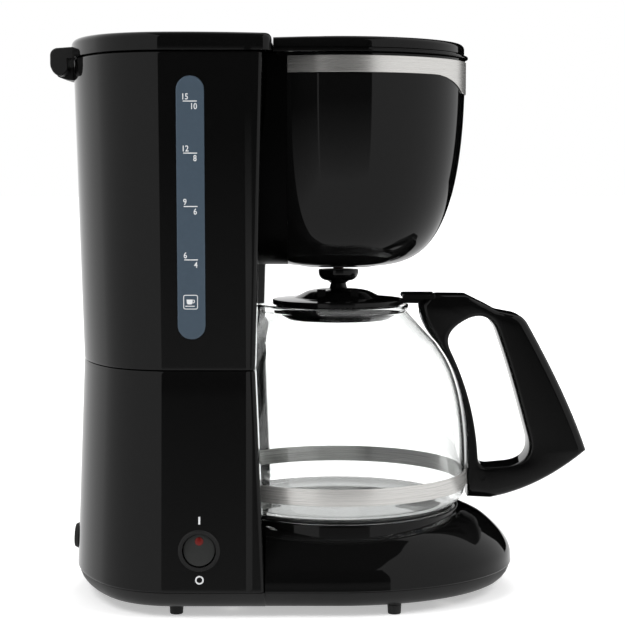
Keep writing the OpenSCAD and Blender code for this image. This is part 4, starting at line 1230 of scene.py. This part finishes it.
@dataclass
class Base:
    """Base cover with its nose, the raised ring and the hot plate."""

    nose_reach: float = 102
    half_w: float = 86
    top: float = 46
    low: float = 15
    rear_x: float = -40.8
    plinth_r: float = 70.5
    plate_r: float = 66
    plate_top: float = 50
    deck_r: float = 77.8
    foot_r: float = 3.9
    foot_y: float = 72
    foot_rear: float = 90
    foot_front: float = 30
    screw_rise: float = 2.1
    screw_way_r: float = 3.9
    screws: tuple = ((-130, 0), (-60, 62), (-60, -62), (60, 52), (60, -52))
    slot_w: float = 4
    slot_half: float = 30
    slot_pitch: float = 9
    stem_gap: float = 0.8
    stem_top: float = 8.7
    # Heights over the lower edge and insets that the flank runs through
    flank: tuple = ((0, 0), (8, 1), (15, 5), (21, 10.5), (26, 16.5), (29, 22), (31, 27))

    def plan(self, inset: float) -> np.ndarray:
        """Plan of the base: half an oval, x = reach cos a and y = half sin a, run back to flat flanks."""
        reach, half = self.nose_reach - inset, self.half_w - 0.95 * inset
        a = np.radians(np.linspace(-90, 90, 73))
        nose = np.column_stack([reach * np.cos(a), half * np.sin(a)])
        near = straight((self.rear_x, -half), (0, -half), 2)[:-1]
        far = straight((0, half), (self.rear_x, half), 2)[1:]
        rear = straight((self.rear_x, half), (self.rear_x, -half), 4)[1:-1]
        return np.vstack([near, nose, far, rear])

    def dome(self) -> bpy.types.Object:
        """Base cover: the flank's profile carried round the plan."""
        profile = through(self.flank, 6)
        rings = [at_height(self.plan(1.0), self.low), at_height(self.plan(0.3), self.low)]
        climb = (self.top - self.low - 0.4) / 31
        rings += [at_height(self.plan(float(inset)), self.low + 0.4 + float(rise) * climb)
                  for rise, inset in profile]
        rings.append(at_height(self.plan(34), self.top))
        return loft("base_dome", rings)

    def deck(self) -> bpy.types.Object:
        """Round floor of the bay between the column's wings."""
        turn = math.degrees(math.acos(self.rear_x / self.deck_r))
        edge = arc((0, 0), self.deck_r, turn, 360 - turn, 48)
        front = straight(edge[-1], edge[0], 3)[1:-1]
        return prism("bay_deck", np.vstack([edge, front]), self.low, self.top - 0.1, edge=0.3, axis="z")

    def plinth(self) -> bpy.types.Object:
        """Raised ring round the hot plate, with a round shoulder."""
        high = self.plate_top - 1.4
        profile = rounded([(self.plinth_r, self.top - 14, 0), (self.plinth_r, high - 0.2, 1.6),
                           (self.plinth_r - 2.6, high, 0.6), (self.plate_r + 1.5, high - 0.1, 0.4),
                           (self.plate_r + 1.5, self.top - 14, 0)])
        return revolve("plinth", profile, wrap=True)

    def plate(self) -> bpy.types.Object:
        """Hot plate: rounded rim, gentle step and the shallow dish that centres the carafe."""
        z = self.plate_top
        profile = rounded([(0, z - 2, 0), (self.plate_r - 0.3, z - 2, 0.2), (self.plate_r, z - 1.4, 0.3),
                           (self.plate_r - 0.6, z, 0.8), (self.plate_r - 11, z, 0.6),
                           (self.plate_r - 12.6, z - 0.5, 0.6), (0, z - 0.5, 0)])
        return revolve("hot_plate_disc", profile)

    def tray_plan(self, column: Column, inset: float) -> np.ndarray:
        """Outline of the whole foot: the column's rear and flanks, then the base's nose."""
        rear = column.rear_half(column.foot_grow - inset)
        nose = self.plan(inset)
        near_nose = nose[(nose[:, 0] > self.rear_x + 0.01) & (nose[:, 1] < -1)]
        flank = straight(rear[0], (self.rear_x - 0.4, rear[0, 1]), 4)[1:]
        half_loop = np.vstack([rear[::-1], flank, near_nose, [[self.nose_reach - inset, 0]]])
        mirror = half_loop[::-1] * [1, -1]
        return np.vstack([half_loop, mirror[1:-1]])

    @staticmethod
    def round_cutters(places, radius: float, top: float, points: int) -> list:
        """Upright round cutters from the floor up to one height."""
        return [prism("round_cutter", arc(p, radius, 0, 360, points)[:-1], 0, top, 0.01, "z") for p in places]

    def tray(self) -> bpy.types.Object:
        """Bottom plate: a shallow tray whose flank curves in to the underside, with its holes."""
        column, over = Column(), 30
        rows = [(30, 7.7), (11.5, 7.7), (9.5, 9), (6, 12.5), (3.6, 14.3), (2.6, 14.8), (1.2, 14.8), (1.0, 14.4),
                (1.3, 12.6), (2.2, 10.4), (3.8, 8.2), (5.6, 6.6), (7.2, 5.8), (9.0, 5.5), (30, 5.5)]
        body = loft("bottom_tray", [at_height(self.tray_plan(column, i), z) for i, z in rows])
        feet = [(x, side.value * self.foot_y) for x in (-self.foot_rear, self.foot_front) for side in Side]
        half, stem_r = self.slot_half, self.foot_r - self.stem_gap
        holes = []
        for low in np.arange(-3, 4) * self.slot_pitch - self.slot_w / 2:
            high = low + self.slot_w
            slot = np.array([(-half, low), (half, low), (half, high), (-half, high)], float)
            holes.append(prism("slot", slot, 0, over, 0.01, "z"))
        holes += self.round_cutters(self.screws, self.screw_way_r, over, 24)
        # The body and the posts are cut apart from each other, because a cut needs one plain solid
        cut(body, joined("tray_cutters", holes + self.round_cutters(feet, stem_r, self.stem_top, 32)))
        posts = joined("posts", [prism("post", arc(p, self.foot_r + 0.3, 0, 360, 40)[:-1], 5.5, 13.4, 0.3, "z")
                                 for p in feet])
        cut(posts, joined("stem_cutters", self.round_cutters(feet, stem_r, self.stem_top, 32)))
        return joined("bottom_tray", [body, posts])

    def build(self) -> None:
        """Builds and dresses the base."""
        cover = joined("base_cover_body", [self.dome(), self.deck(), self.plinth()])
        seat(cover, Body.MACHINE, GLOSS_BLACK, "base_cover")
        seat(self.plate(), Body.MACHINE, PLATE_COAT, "hot_plate")
        seat(copy_of("hot_plate_seal"), Body.MACHINE, RUBBER, "hot_plate_seal")
        seat(self.tray(), Body.MACHINE, BASE_PLATE_BLACK, "bottom_plate")
        screws = copy_of("bottom_screws")
        screws.data.transform(Matrix.Translation((0, 0, self.screw_rise * MM)))
        seat(screws, Body.MACHINE, PIN_STEEL, "bottom_screws")
        seat(copy_of("feet", 0.4), Body.MACHINE, RUBBER, "feet")
        seat(copy_of("cord_gland", 0.3), Body.MACHINE, RUBBER, "cord_gland")


# ---- Head ----


@dataclass
class Head:
    """Swing-out filter holder, its steel band, the fixed frame behind it and the cover."""

    rim_r: float = 73
    rim_z: float = 306
    low: float = 188
    flat_r: float = 22
    part_x: float = 29
    wall: float = 2.4
    bay_r: float = 77.8
    cover_low: float = 306.7
    cover_top: float = 317.5
    cover_dome_r: float = 1000
    cover_rear_x: float = -36.2
    band_h: float = 9
    band_dip: float = 9
    pin_r: float = 2
    level_spans: int = 56

    def skin_r(self, z: np.ndarray, inset: float = 0.0) -> np.ndarray:
        """Radius of the bowl: R (1 - t^2.4)^(1/4.3), where t runs from the rim to the underside."""
        depth = self.rim_z - self.low - inset
        t = np.clip((self.rim_z - z) / depth, 0, 1)
        return (self.rim_r - inset) * (1 - t**2.4) ** (1 / 4.3)

    def levels(self, inset: float = 0.0) -> np.ndarray:
        """Heights from the rim down, crowded towards the underside."""
        depth = self.rim_z - self.low - inset
        return self.rim_z - depth * np.sin(np.linspace(0, np.pi / 2, self.level_spans + 1)) ** 0.9

    def section(self, radius: float, z: float, cut_x: float) -> np.ndarray:
        """Circle cut off flat behind a plane.

        Args:
            radius: Radius of the circle.
            z: Height of the section.
            cut_x: Place of the plane.

        Returns:
            Closed ring (n, 3): the arc, then the chord.
        """
        turn = 180 if radius <= -cut_x else math.degrees(math.acos(cut_x / radius))
        edge = arc((0, 0), radius, -turn, turn, 144)
        chord = straight(edge[-1], edge[0], 5)[1:-1]
        return at_height(np.vstack([edge, chord]), z)

    def bowl(self) -> bpy.types.Object:
        """Holder's shell: outer skin up to the rim, then the inner skin down to its floor."""
        outer_z, inner_z = self.levels()[::-1], self.levels(self.wall)
        rings = [self.section(self.flat_r, self.low, -self.part_x)]
        rings += [self.section(float(max(self.skin_r(z), self.flat_r)), float(z), -self.part_x)
                  for z in outer_z[1:]]
        inner_x = -self.part_x + self.wall
        rings += [self.section(float(max(self.skin_r(z, self.wall), self.flat_r)), float(z), inner_x)
                  for z in inner_z[:-1]]
        rings.append(self.section(self.flat_r, self.low + self.wall, inner_x))
        return loft("holder_bowl", rings)

    def band(self) -> bpy.types.Object:
        """Steel band: a thin sheet round the rim whose lower edge dips at the front.

        The lower edge falls by dip times u^1.8, with u running from 0 at 45
        degrees off the front to 1 at 18 degrees.
        """
        top = self.rim_z - 1.2
        turn = math.degrees(math.acos(-(self.part_x - 0.6) / self.rim_r))
        a = np.radians(np.linspace(-turn, turn, 181))
        u = np.clip((45 - np.abs(np.degrees(a))) / 27, 0, 1)
        low = top - self.band_h - self.band_dip * u**1.8
        inner, outer = self.rim_r + 0.1, self.rim_r + 0.6
        loop = [(inner, 0.0, 0.0), (outer - 0.12, 0.0, 0.0), (outer, 0.0, 0.12), (outer, 1.0, -0.12),
                (outer - 0.12, 1.0, 0.0), (inner, 1.0, 0.0)]
        rows = [np.stack([r * np.cos(a), r * np.sin(a), low + share * (top - low) + lift], axis=1)
                for r, share, lift in loop]
        grid = np.stack(rows, axis=1)
        return loft("holder_band", grid)

    def frame_block(self) -> bpy.types.Object:
        """Fixed part of the head: the holder's side view run straight back to the bay's wall."""
        heights = [z for z in self.levels()[::-1] if self.skin_r(z) > self.part_x + 1]
        front = -self.part_x - 0.15
        rings = []
        for z in heights:
            half = math.sqrt(float(self.skin_r(z)) ** 2 - self.part_x**2)
            rear_turn = math.degrees(math.asin(half / self.bay_r))
            rear = arc((0, 0), self.bay_r, 180 - rear_turn, 180 + rear_turn, 30)
            near = straight(rear[-1], (front, -half), 2)[1:]
            face = straight((front, -half), (front, half), 5)[1:]
            far = straight((front, half), rear[0], 2)[1:-1]
            rings.append(at_height(np.vstack([rear, near, face, far]), float(z)))
        block = loft("head_frame_block", rings)
        boss = self.pin_r + 2
        swing_x, swing_y = -self.part_x + boss, math.sqrt(self.rim_r**2 - self.part_x**2) - boss
        profile = np.array([(0, self.low - 5), (boss + 5, self.low - 5), (boss + 5, 330), (0, 330)], float)
        cut(block, revolve("relief_cutter", profile, centre=(swing_x, swing_y), steps=96))
        return block

    def boss(self) -> bpy.types.Object:
        """Boss of the holder that turns on the pin."""
        boss = self.pin_r + 2
        centre = (-self.part_x + boss, math.sqrt(self.rim_r**2 - self.part_x**2) - boss)
        profile = rounded([(self.pin_r + 0.1, 282, 0), (boss - 0.1, 281, 0.5), (boss - 0.1, 306, 0.4),
                           (self.pin_r + 0.1, 306, 0.2)])
        return revolve("holder_boss", profile, centre=centre, steps=48, wrap=True)

    def cover_plan(self, radius: float) -> np.ndarray:
        """Plan of the cover: a circle run straight back to its rear end."""
        half = arc((0, 0), radius, 0, 90, 60)
        side = straight((0, radius), (self.cover_rear_x, radius), 2)[1:]
        rear = straight((self.cover_rear_x, radius), (self.cover_rear_x, 0), 3)[1:]
        upper = np.vstack([half, side, rear])
        mirror = upper[::-1] * [1, -1]
        return np.vstack([upper, mirror[1:-1]])

    def cover_height(self, plan: np.ndarray, drop: float = 0.0) -> np.ndarray:
        """Height of the cover's dome over plan points: top - (R - sqrt(R^2 - d^2))."""
        d2 = (plan**2).sum(axis=1)
        return self.cover_top - drop - (self.cover_dome_r - np.sqrt(self.cover_dome_r**2 - d2))

    def cover(self) -> bpy.types.Object:
        """Cover of the head: thin round lip, a shadow line, then the crown with its soft edge."""
        crown_r, wall, edge = self.rim_r - 0.5, 2.5, 2.6
        shares = np.array([0.03, 0.25, 0.5, 0.75, 0.92])
        inner = self.cover_plan(crown_r - wall)
        rings = [at_height(inner * s, self.cover_height(inner * s, wall)) for s in shares]
        rings.append(at_height(inner, self.cover_height(inner, wall)))
        rings.append(at_height(inner, self.cover_low + 0.3))
        low = self.cover_low
        steps = [(crown_r - 1.8, low), (self.rim_r + 1.1, low), (self.rim_r + 1.6, low + 0.25),
                 (self.rim_r + 1.7, low + 0.7), (self.rim_r + 1.5, low + 1.3), (self.rim_r + 1.0, low + 1.5),
                 (crown_r - 0.2, low + 1.6), (crown_r - 0.35, low + 2.2), (crown_r, low + 2.6), (crown_r, low + 4)]
        rings += [at_height(self.cover_plan(r), z) for r, z in steps]
        for turn in np.radians(np.linspace(0, 90, 8)):
            plan = self.cover_plan(crown_r - edge * (1 - math.cos(turn)))
            rings.append(at_height(plan, self.cover_height(plan) - edge * (1 - math.sin(turn))))
        top = self.cover_plan(crown_r - edge)
        rings += [at_height(top * s, self.cover_height(top * s)) for s in shares[::-1]]
        return loft("head_cover_cap", rings)

    def build(self) -> None:
        """Builds and dresses the head."""
        bowl = self.bowl()
        soften(bowl, 0.12, 1, 50)
        seat(bowl, Body.HOLDER, GLOSS_BLACK, "filter_holder")
        seat(self.boss(), Body.HOLDER, GLOSS_BLACK)
        seat(self.band(), Body.HOLDER, TRIM_BAND_SHADED_STEEL, "trim_band")
        block = self.frame_block()
        soften(block, 0.12, 1, 50)
        # The frame takes the darker copy of the gloss black as painted shade.
        seat(block, Body.MACHINE, SHADED_FRAME_BLACK, "head_frame")
        seat(self.cover(), Body.MACHINE, GLOSS_BLACK, "head_cover")
        seat(copy_of("filter_basket", 0.3), Body.HOLDER, SATIN_BLACK, "filter_basket")
        seat(copy_of("drip_stop_cap", 0.2), Body.HOLDER, SATIN_BLACK, "drip_stop_cap")
        seat(copy_of("drip_valve", 0.3), Body.STOPPER, VALVE_RED, "drip_valve")
        seat(copy_of("spray_head", 0.2), Body.MACHINE, SATIN_BLACK, "spray_head")


# ---- Carafe ----


@dataclass
class Carafe:
    """Glass carafe with its steel band, handle and lid."""

    low: float = 50.3
    glass_r: float = 74.5
    height: float = 115
    wall: float = 1.2
    neck_r: float = 38
    neck_skin_r: float = 39.9
    band_low: float = 59.8
    band_h: float = 9.5
    handle_w: float = 24
    handle_base: float = 0.3
    lid_pin_x: float = 71
    lid_pin_z: float = 166.3
    dish_z: float = 185.8
    side_points: int = 40

    def skin(self, extra: float = 0.0) -> np.ndarray:
        """Outer skin of the glass as (radius, height over the foot).

        Args:
            extra: How far the skin is moved out, or in when negative.

        Returns:
            Points from the foot to the rim.
        """
        r, e, neck = self.glass_r, extra, self.neck_skin_r + extra
        return np.vstack([
            bow((66 + e, 0), (r + e, 1), (r + e, 10 + e), 18),
            bow((r + e, 20), (r + e, 68), (60 + e, 88), 36),
            bow((57 + e, 92.5), (neck + 6.1, 104), (neck, self.height - 4), 18),
            [[neck + 1.2, self.height - 0.6]],
        ])

    def glass(self) -> bpy.types.Object:
        """Glass body: outer skin, rolled rim and inner skin, with the spout drawn out of the rim.

        Near the rim, points round angle a = 180 degrees move out by the spout's
        reach times a bell curve of the angle and a smooth step of the height.
        """
        outer = self.skin()
        inner = self.skin(-self.wall)
        inner = inner[inner[:, 1] > self.wall - 0.1]
        rim = self.height
        profile = np.vstack([
            [[0, 0.9], [40, 0.6], [60, 0]], outer,
            [[self.neck_r + 3.0, rim - 0.1], [self.neck_r + 1.9, rim], [self.neck_r + 1.1, rim - 0.5]],
            inner[::-1][1:], [[60, self.wall], [30, self.wall + 0.8], [0, self.wall + 1.2]],
        ])
        steps = 192
        a = np.linspace(0, 2 * np.pi, steps, endpoint=False)[None, :]
        r, z = profile[:, 0:1], profile[:, 1:2]
        off = np.abs(np.degrees(a) - 180)
        lift = eased((z - (rim - 16)) / 16)
        pull = 8.5 * np.exp(-((off / 13) ** 2)) * lift * (r > 30)
        reach = r + pull
        grid = np.stack([reach * np.cos(a), reach * np.sin(a), z + self.low + 0 * a], axis=-1)
        faces = grid_faces(len(profile), steps, False, True).tolist()
        return mesh_object("carafe_glass_body", grid.reshape(-1, 3), faces, 60)

    def band(self) -> bpy.types.Object:
        """Steel band round the glass with rolled edges, and its tab under the handle."""
        inner, outer = self.glass_r + 0.1, self.glass_r + 0.7
        low, high = self.band_low, self.band_low + self.band_h
        profile = rounded([(inner, low, 0), (outer, low, 0.25), (outer, high, 0.25), (inner, high, 0)], closed=True)
        ring = revolve("band_ring", profile, wrap=True, steps=192)
        tab = rounded([(self.glass_r + 0.3, low + 0.2, 0.1), (self.glass_r + 2.4, low + 0.2, 0.6),
                       (self.glass_r + 2.4, high - 0.2, 0.6), (self.glass_r + 0.3, high - 0.2, 0.1)], closed=True)
        return joined("carafe_band_ring", [ring, prism("tab", tab, -7, 7, edge=0.2)])

    def handle_loops(self) -> tuple:
        """Matched outlines of the handle: its outside and its hole, side by side.

        Returns:
            Two closed arrays of (x, z), each with four sides of side_points points.
        """
        outer = [
            np.vstack([bow((47, 166), (47, 156), (54, 146.5)), bow((60, 136), (75.5, 100), (75.6, 52.5))]),
            np.vstack([[[75.6, 52.5]], bow((89, 51.8), (118, 57), (145, 80))]),
            bow((145, 80), (134, 112), (110, 154.5), 20),
            np.vstack([bow((110, 154.5), (107, 159.6), (100, 160.6)), bow((92, 162), (86, 165.5), (80, 168.5)),
                       [[74, 171.4], [58, 171.5], [50, 170.6]]]),
        ]
        inner = [
            np.vstack([bow((76, 157.5), (60, 150), (65, 139)), bow((68.5, 131.5), (80, 105), (81.6, 76))]),
            np.vstack([bow((81.6, 76), (82, 70), (88, 70.1)), bow((96, 70.8), (105.5, 71.15), (109.2, 75.45))]),
            np.vstack([bow((109.2, 75.45), (112.9, 79.75), (110.8, 88)), bow((107, 102), (100, 128), (92.5, 149))]),
            bow((92.5, 149), (88, 162), (76, 157.5)),
        ]
        loops = [np.vstack([resampled(side, self.side_points + 1)[:-1] for side in loop]) for loop in (outer, inner)]
        return tuple(loop + [0, self.handle_base] for loop in loops)

    def handle(self) -> bpy.types.Object:
        """Handle: between each matched pair of outline points a rounded section is drawn.

        A section point lies s along the line from the outside to the hole and y
        across; (s, y) runs round a rectangle with round corners.
        """
        outside, hole = self.handle_loops()
        glass = self.skin(0.8)
        over_foot = outside[:, 1] - self.low
        keep_out = np.interp(over_foot, glass[:, 1], glass[:, 0], left=0, right=0)
        outside = np.column_stack([np.maximum(outside[:, 0], keep_out), outside[:, 1]])
        span = hole - outside
        length = np.linalg.norm(span, axis=1)
        half = self.handle_w / 2
        unit_loop = []
        corners = [(0.0, -1.0, 5.2), (1.0, -1.0, 3.0), (1.0, 1.0, 3.0), (0.0, 1.0, 5.2)]
        for share, sign, radius in corners:
            start = {(0.0, -1.0): 180, (1.0, -1.0): 270, (1.0, 1.0): 0, (0.0, 1.0): 90}[(share, sign)]
            for a in np.radians(np.linspace(start, start + 90, 8)):
                unit_loop.append((share, sign, radius, math.cos(a), math.sin(a)))
        share, sign, radius, cos_a, sin_a = (np.array(v)[None, :] for v in zip(*unit_loop))
        fit = np.minimum(radius, 0.46 * length[:, None])
        along = share * length[:, None] + np.where(share > 0, -fit, fit) + fit * cos_a
        across = sign * (half - fit) + fit * sin_a
        way = span / length[:, None]
        x = outside[:, 0:1] + along * way[:, 0:1]
        z = outside[:, 1:2] + along * way[:, 1:2]
        grid = np.stack([x, across, z], axis=-1)
        handle = loft("carafe_handle_body", grid, wrap=True)
        slot = np.array([(40, 160.8), (85, 160.8), (85, 190), (40, 190)], float)
        cut(handle, prism("fork_cutter", slot, -8.4, 8.4, edge=0.01))
        dimple = arc((84.4, 65.1), 2, 0, 360, 32)[:-1]
        for side in Side:
            ends = sorted(side.value * y for y in (half - 0.9, half + 1))
            cut(handle, prism("dimple_cutter", dimple, *ends, edge=0.01))
        tip = rounded([(37, 168.9, 1.4), (37, 171.9, 1.4), (56, 171.9, 0.5), (56, 168.9, 0.3)], closed=True)
        arms = [prism("arm", tip, *sorted(side.value * y for y in (8.4, half)), edge=0.5) for side in Side]
        return joined("carafe_handle_body", [handle, *arms])

    def lid(self) -> bpy.types.Object:
        """Lid: plug, thick rim, cone and the stem with its dish, and the tongue that the pin holds."""
        z, dish = self.low + self.height + 0.3, self.dish_z
        profile = np.vstack([
            rounded([(0, z - 0.5, 0), (27, z - 0.5, 0), (27, z - 9, 0), (29.5, z - 9, 0.5), (33.6, z - 6.4, 1),
                     (34.6, z - 3.6, 0.4), (36.3, z - 3.2, 0.3), (36.6, z - 0.2, 0.2), (38.3, z, 0.3),
                     (38.5, z + 2.9, 0.8), (30, z + 3.5, 1), (25.6, z + 3.8, 0.8), (18, z + 7.6, 1.6),
                     (14, z + 8.4, 1), (5.2, z + 9, 0.8), (4.4, dish - 8, 0.5)]),
            bow((6.4, dish - 6.6), (11.6, dish - 6), (11.6, dish - 1.2), 10),
            [[11.6, dish - 0.2], [11.3, dish], [9.8, dish], [7, dish - 1.6], [0, dish - 1.6]],
        ])
        body = revolve("carafe_lid_body", profile)
        x, up = self.lid_pin_x, self.lid_pin_z
        tongue = rounded([(30, z + 1, 0), (52, z + 0.6, 1), (x + 3, up - 2.6, 2), (x + 6, up + 2, 2), (x + 4, up + 4.6, 2),
                          (x - 6, up + 3, 2), (44, z + 2.7, 1), (30, z + 2.9, 0)], closed=True)
        arm = prism("tongue", tongue, -7.8, 7.8)
        cut(arm, prism("pin_cutter", arc((x, up), 1.65, 0, 360, 24)[:-1], -9, 9, edge=0.01))
        stops = [prism("stop", np.array([(c - 2.5, z + 5), (c + 2.5, z + 5), (c + 2.5, z + 9.6), (c - 2.5, z + 9.6)]),
                       -20, -17.5, edge=0.2) for c in (-10.0, 9.0)]
        return joined("carafe_lid_body", [body, arm, *stops])

    def build(self) -> None:
        """Builds and dresses the carafe."""
        seat(self.glass(), Body.CARAFE, GLASS, "carafe_glass")
        seat(self.band(), Body.CARAFE, CARAFE_BAND_LIT_STEEL, "carafe_band")
        seat(self.handle(), Body.CARAFE, GLOSS_BLACK, "carafe_handle")
        seat(self.lid(), Body.CARAFE, GLOSS_BLACK, "carafe_lid")


# ---- Inner works ----

KEPT_NODES: dict = {
    "lid_hinge_pin": PIN_STEEL,
    "heating_element": HEATER_ALU,
    "heater_clips": PIN_STEEL,
    "thermostat": CERAMIC,
    "thermal_fuse": CERAMIC,
    "tank_outlet": CLEAR_PLASTIC,
    "valve_ball": CLEAR_PLASTIC,
    "inlet_hose": SILICONE,
    "outlet_hose": SILICONE,
    "riser_tube": CLEAR_PLASTIC,
    "holder_hinge_pin": PIN_STEEL,
    "drip_spring": PIN_STEEL,
    "handle_screw": PIN_STEEL,
    "carafe_lid_pin": PIN_STEEL,
}


def dress_kept_nodes() -> None:
    """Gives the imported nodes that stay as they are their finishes."""
    for node, finish in KEPT_NODES.items():
        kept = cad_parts[node]
        kept.data.materials.clear()
        kept.data.materials.append(finish.material())
        log.info("%s keeps its own shape", node)


# ---- Studio ----


@dataclass
class Studio:
    """Camera, pale floor, cards and lamps."""

    eye: tuple = (-0.0060, -0.965, 0.239)
    pitch: float = 4.66
    lens: float = 95.04

    def camera(self) -> None:
        """Sets up the camera that looks along +Y and a little down."""
        data = bpy.data.cameras.new("camera")
        data.lens = self.lens
        data.sensor_width = 36
        data.sensor_fit = "HORIZONTAL"
        data.clip_start, data.clip_end = 0.02, 60
        camera = bpy.data.objects.new("camera", data)
        camera.location = self.eye
        camera.rotation_euler = (math.radians(90 - self.pitch), 0, 0)
        bpy.context.scene.collection.objects.link(camera)
        bpy.context.scene.camera = camera

    def lit_for_sight(self, nodes: Nodes) -> bpy.types.NodeSocket:
        """1 for rays from the camera, a reflection or glass, 0 for the light that falls on things."""
        path = nodes.add("ShaderNodeLightPath")
        first = nodes.add("ShaderNodeMath", operation="MAXIMUM")
        second = nodes.add("ShaderNodeMath", operation="MAXIMUM")
        nodes.link(path.outputs["Is Camera Ray"], first.inputs[0])
        nodes.link(path.outputs["Is Glossy Ray"], first.inputs[1])
        nodes.link(first.outputs[0], second.inputs[0])
        nodes.link(path.outputs["Is Transmission Ray"], second.inputs[1])
        return second.outputs[0]

    def floor(self) -> None:
        """Pale floor: a matt white that keeps the shadow, lifted a little where it is looked at."""
        size = 20.0
        mesh = bpy.data.meshes.new("studio_floor")
        mesh.from_pydata([(-size, -size, 0), (size, -size, 0), (size, size, 0), (-size, size, 0)], [], [(0, 1, 2, 3)])
        floor = bpy.data.objects.new("studio_floor", mesh)
        bpy.context.scene.collection.objects.link(floor)
        material = bpy.data.materials.new("floor_white")
        material.use_nodes = True
        nodes = Nodes(material.node_tree)
        material.node_tree.nodes.clear()
        matt = nodes.add("ShaderNodeBsdfDiffuse")
        matt.inputs["Color"].default_value = (0.86, 0.86, 0.86, 1)
        glow = nodes.add("ShaderNodeEmission")
        place = nodes.add("ShaderNodeTexCoord")
        apart = nodes.add("ShaderNodeVectorMath", operation="LENGTH")
        near_far = nodes.add("ShaderNodeMapRange", interpolation_type="SMOOTHSTEP")
        lift = nodes.add("ShaderNodeMath", operation="MULTIPLY")
        both = nodes.add("ShaderNodeAddShader")
        out = nodes.add("ShaderNodeOutputMaterial")
        nodes.link(self.lit_for_sight(nodes), lift.inputs[0])
        for name, value in (("From Min", 0.35), ("From Max", 1.4), ("To Min", 0.42), ("To Max", 0.85)):
            near_far.inputs[name].default_value = value
        nodes.link(place.outputs["Object"], apart.inputs[0])
        nodes.link(apart.outputs["Value"], near_far.inputs["Value"])
        nodes.link(near_far.outputs["Result"], lift.inputs[1])
        nodes.link(lift.outputs[0], glow.inputs["Strength"])
        nodes.link(matt.outputs[0], both.inputs[0])
        nodes.link(glow.outputs[0], both.inputs[1])
        nodes.link(both.outputs[0], out.inputs["Surface"])
        mesh.materials.append(material)
        floor.visible_glossy = False

    def sky(self) -> None:
        """White surroundings for sight, softer for the light that they give."""
        world = bpy.data.worlds.new("studio_sky")
        bpy.context.scene.world = world
        world.use_nodes = True
        nodes = Nodes(world.node_tree)
        world.node_tree.nodes.clear()
        back = nodes.add("ShaderNodeBackground", Color=(1, 1, 1, 1))
        out = nodes.add("ShaderNodeOutputWorld")
        spread = nodes.add("ShaderNodeMapRange")
        nodes.link(self.lit_for_sight(nodes), spread.inputs["Value"])
        spread.inputs["To Min"].default_value = 0.55
        spread.inputs["To Max"].default_value = 1.0
        nodes.link(spread.outputs["Result"], back.inputs["Strength"])
        nodes.link(back.outputs[0], out.inputs["Surface"])

    def card(self, name: str, centre: tuple, side: tuple, up: tuple, fade: tuple = (), shade: float = 0.0) -> None:
        """Flat studio card that is seen only in reflections.

        Args:
            name: Name of the card.
            centre: Its middle in metres.
            side: Way from the middle to one edge.
            up: Way from the middle to the next edge.
            fade: Heights between which it brightens from dark to pale.
            shade: Its brightness when it has no fade.
        """
        side, up, middle = Vector(side), Vector(up), Vector(centre)
        corners = [middle - side - up, middle + side - up, middle + side + up, middle - side + up]
        mesh = bpy.data.meshes.new(name)
        mesh.from_pydata([tuple(c) for c in corners], [], [(0, 1, 2, 3)])
        card = bpy.data.objects.new(name, mesh)
        bpy.context.scene.collection.objects.link(card)
        material = bpy.data.materials.new(name + "_shade")
        material.use_nodes = True
        nodes = Nodes(material.node_tree)
        material.node_tree.nodes.clear()
        glow = nodes.add("ShaderNodeEmission", Strength=shade)
        if fade:
            place = nodes.add("ShaderNodeTexCoord")
            apart = nodes.add("ShaderNodeSeparateXYZ")
            spread = nodes.add("ShaderNodeMapRange")
            spread.inputs["From Min"].default_value, spread.inputs["From Max"].default_value = fade
            nodes.link(place.outputs["Object"], apart.inputs[0])
            nodes.link(apart.outputs["Z"], spread.inputs["Value"])
            nodes.link(spread.outputs["Result"], glow.inputs["Strength"])
        out = nodes.add("ShaderNodeOutputMaterial")
        nodes.link(glow.outputs[0], out.inputs["Surface"])
        mesh.materials.append(material)
        card.visible_camera = False
        card.visible_diffuse = False
        card.visible_shadow = False
        card.visible_transmission = False

    def lamp(self, name: str, place: tuple, aim: tuple, size: float, power: float) -> None:
        """Soft square lamp.

        Args:
            name: Name of the lamp.
            place: Where it stands, in metres.
            aim: Point that it looks at.
            size: Side of its face.
            power: Power in watts.
        """
        data = bpy.data.lights.new(name, "AREA")
        data.shape = "SQUARE"
        data.size = size
        data.energy = power
        lamp = bpy.data.objects.new(name, data)
        lamp.location = place
        lamp.rotation_euler = (Vector(aim) - Vector(place)).to_track_quat("-Z", "Y").to_euler()
        lamp.visible_glossy = False
        bpy.context.scene.collection.objects.link(lamp)

    def build(self) -> None:
        """Builds the studio."""
        bpy.context.scene.view_settings.view_transform = "Standard"
        self.camera()
        self.floor()
        self.sky()
        self.card("dark_card_front", (1.1, -10, 1), (4.4, 0, 0), (0, 0, 9), fade=(0.0, -4.2))
        self.card("grey_card_top", (0.65, -4.6, 10), (3.95, 0, 0), (0, 5.4, 0), shade=0.03)
        self.card("dark_card_bay", (-0.042, -0.134, 0.4), (0, 0.046, 0), (0, 0, 0.4), fade=(0.275, 0.19))
        self.card("dark_card_back", (0.625, 1.3, 1.25), (0.625, 0, 0), (0, 0, 1.25))
        self.lamp("key_lamp", (-0.9, -0.9, 1.5), (0, 0, 0.15), 0.8, 14)
        self.lamp("fill_lamp", (1.1, -0.5, 1.2), (0, 0, 0.15), 0.8, 9)
        self.lamp("back_lamp", (0.1, 1.2, 1.5), (0, 0, 0.15), 1.0, 10)


def main() -> None:
    """Builds every sub-assembly in order and reports each piece."""
    logging.basicConfig(level=logging.INFO, format="%(name)s: %(message)s")
    Studio().build()
    column = Column()
    column.build()
    GaugeMarks(column).build()
    TankLid(column).build()
    SwitchSet().build()
    Base().build()
    Head().build()
    Carafe().build()
    dress_kept_nodes()


if __name__ == "__main__":
    main()
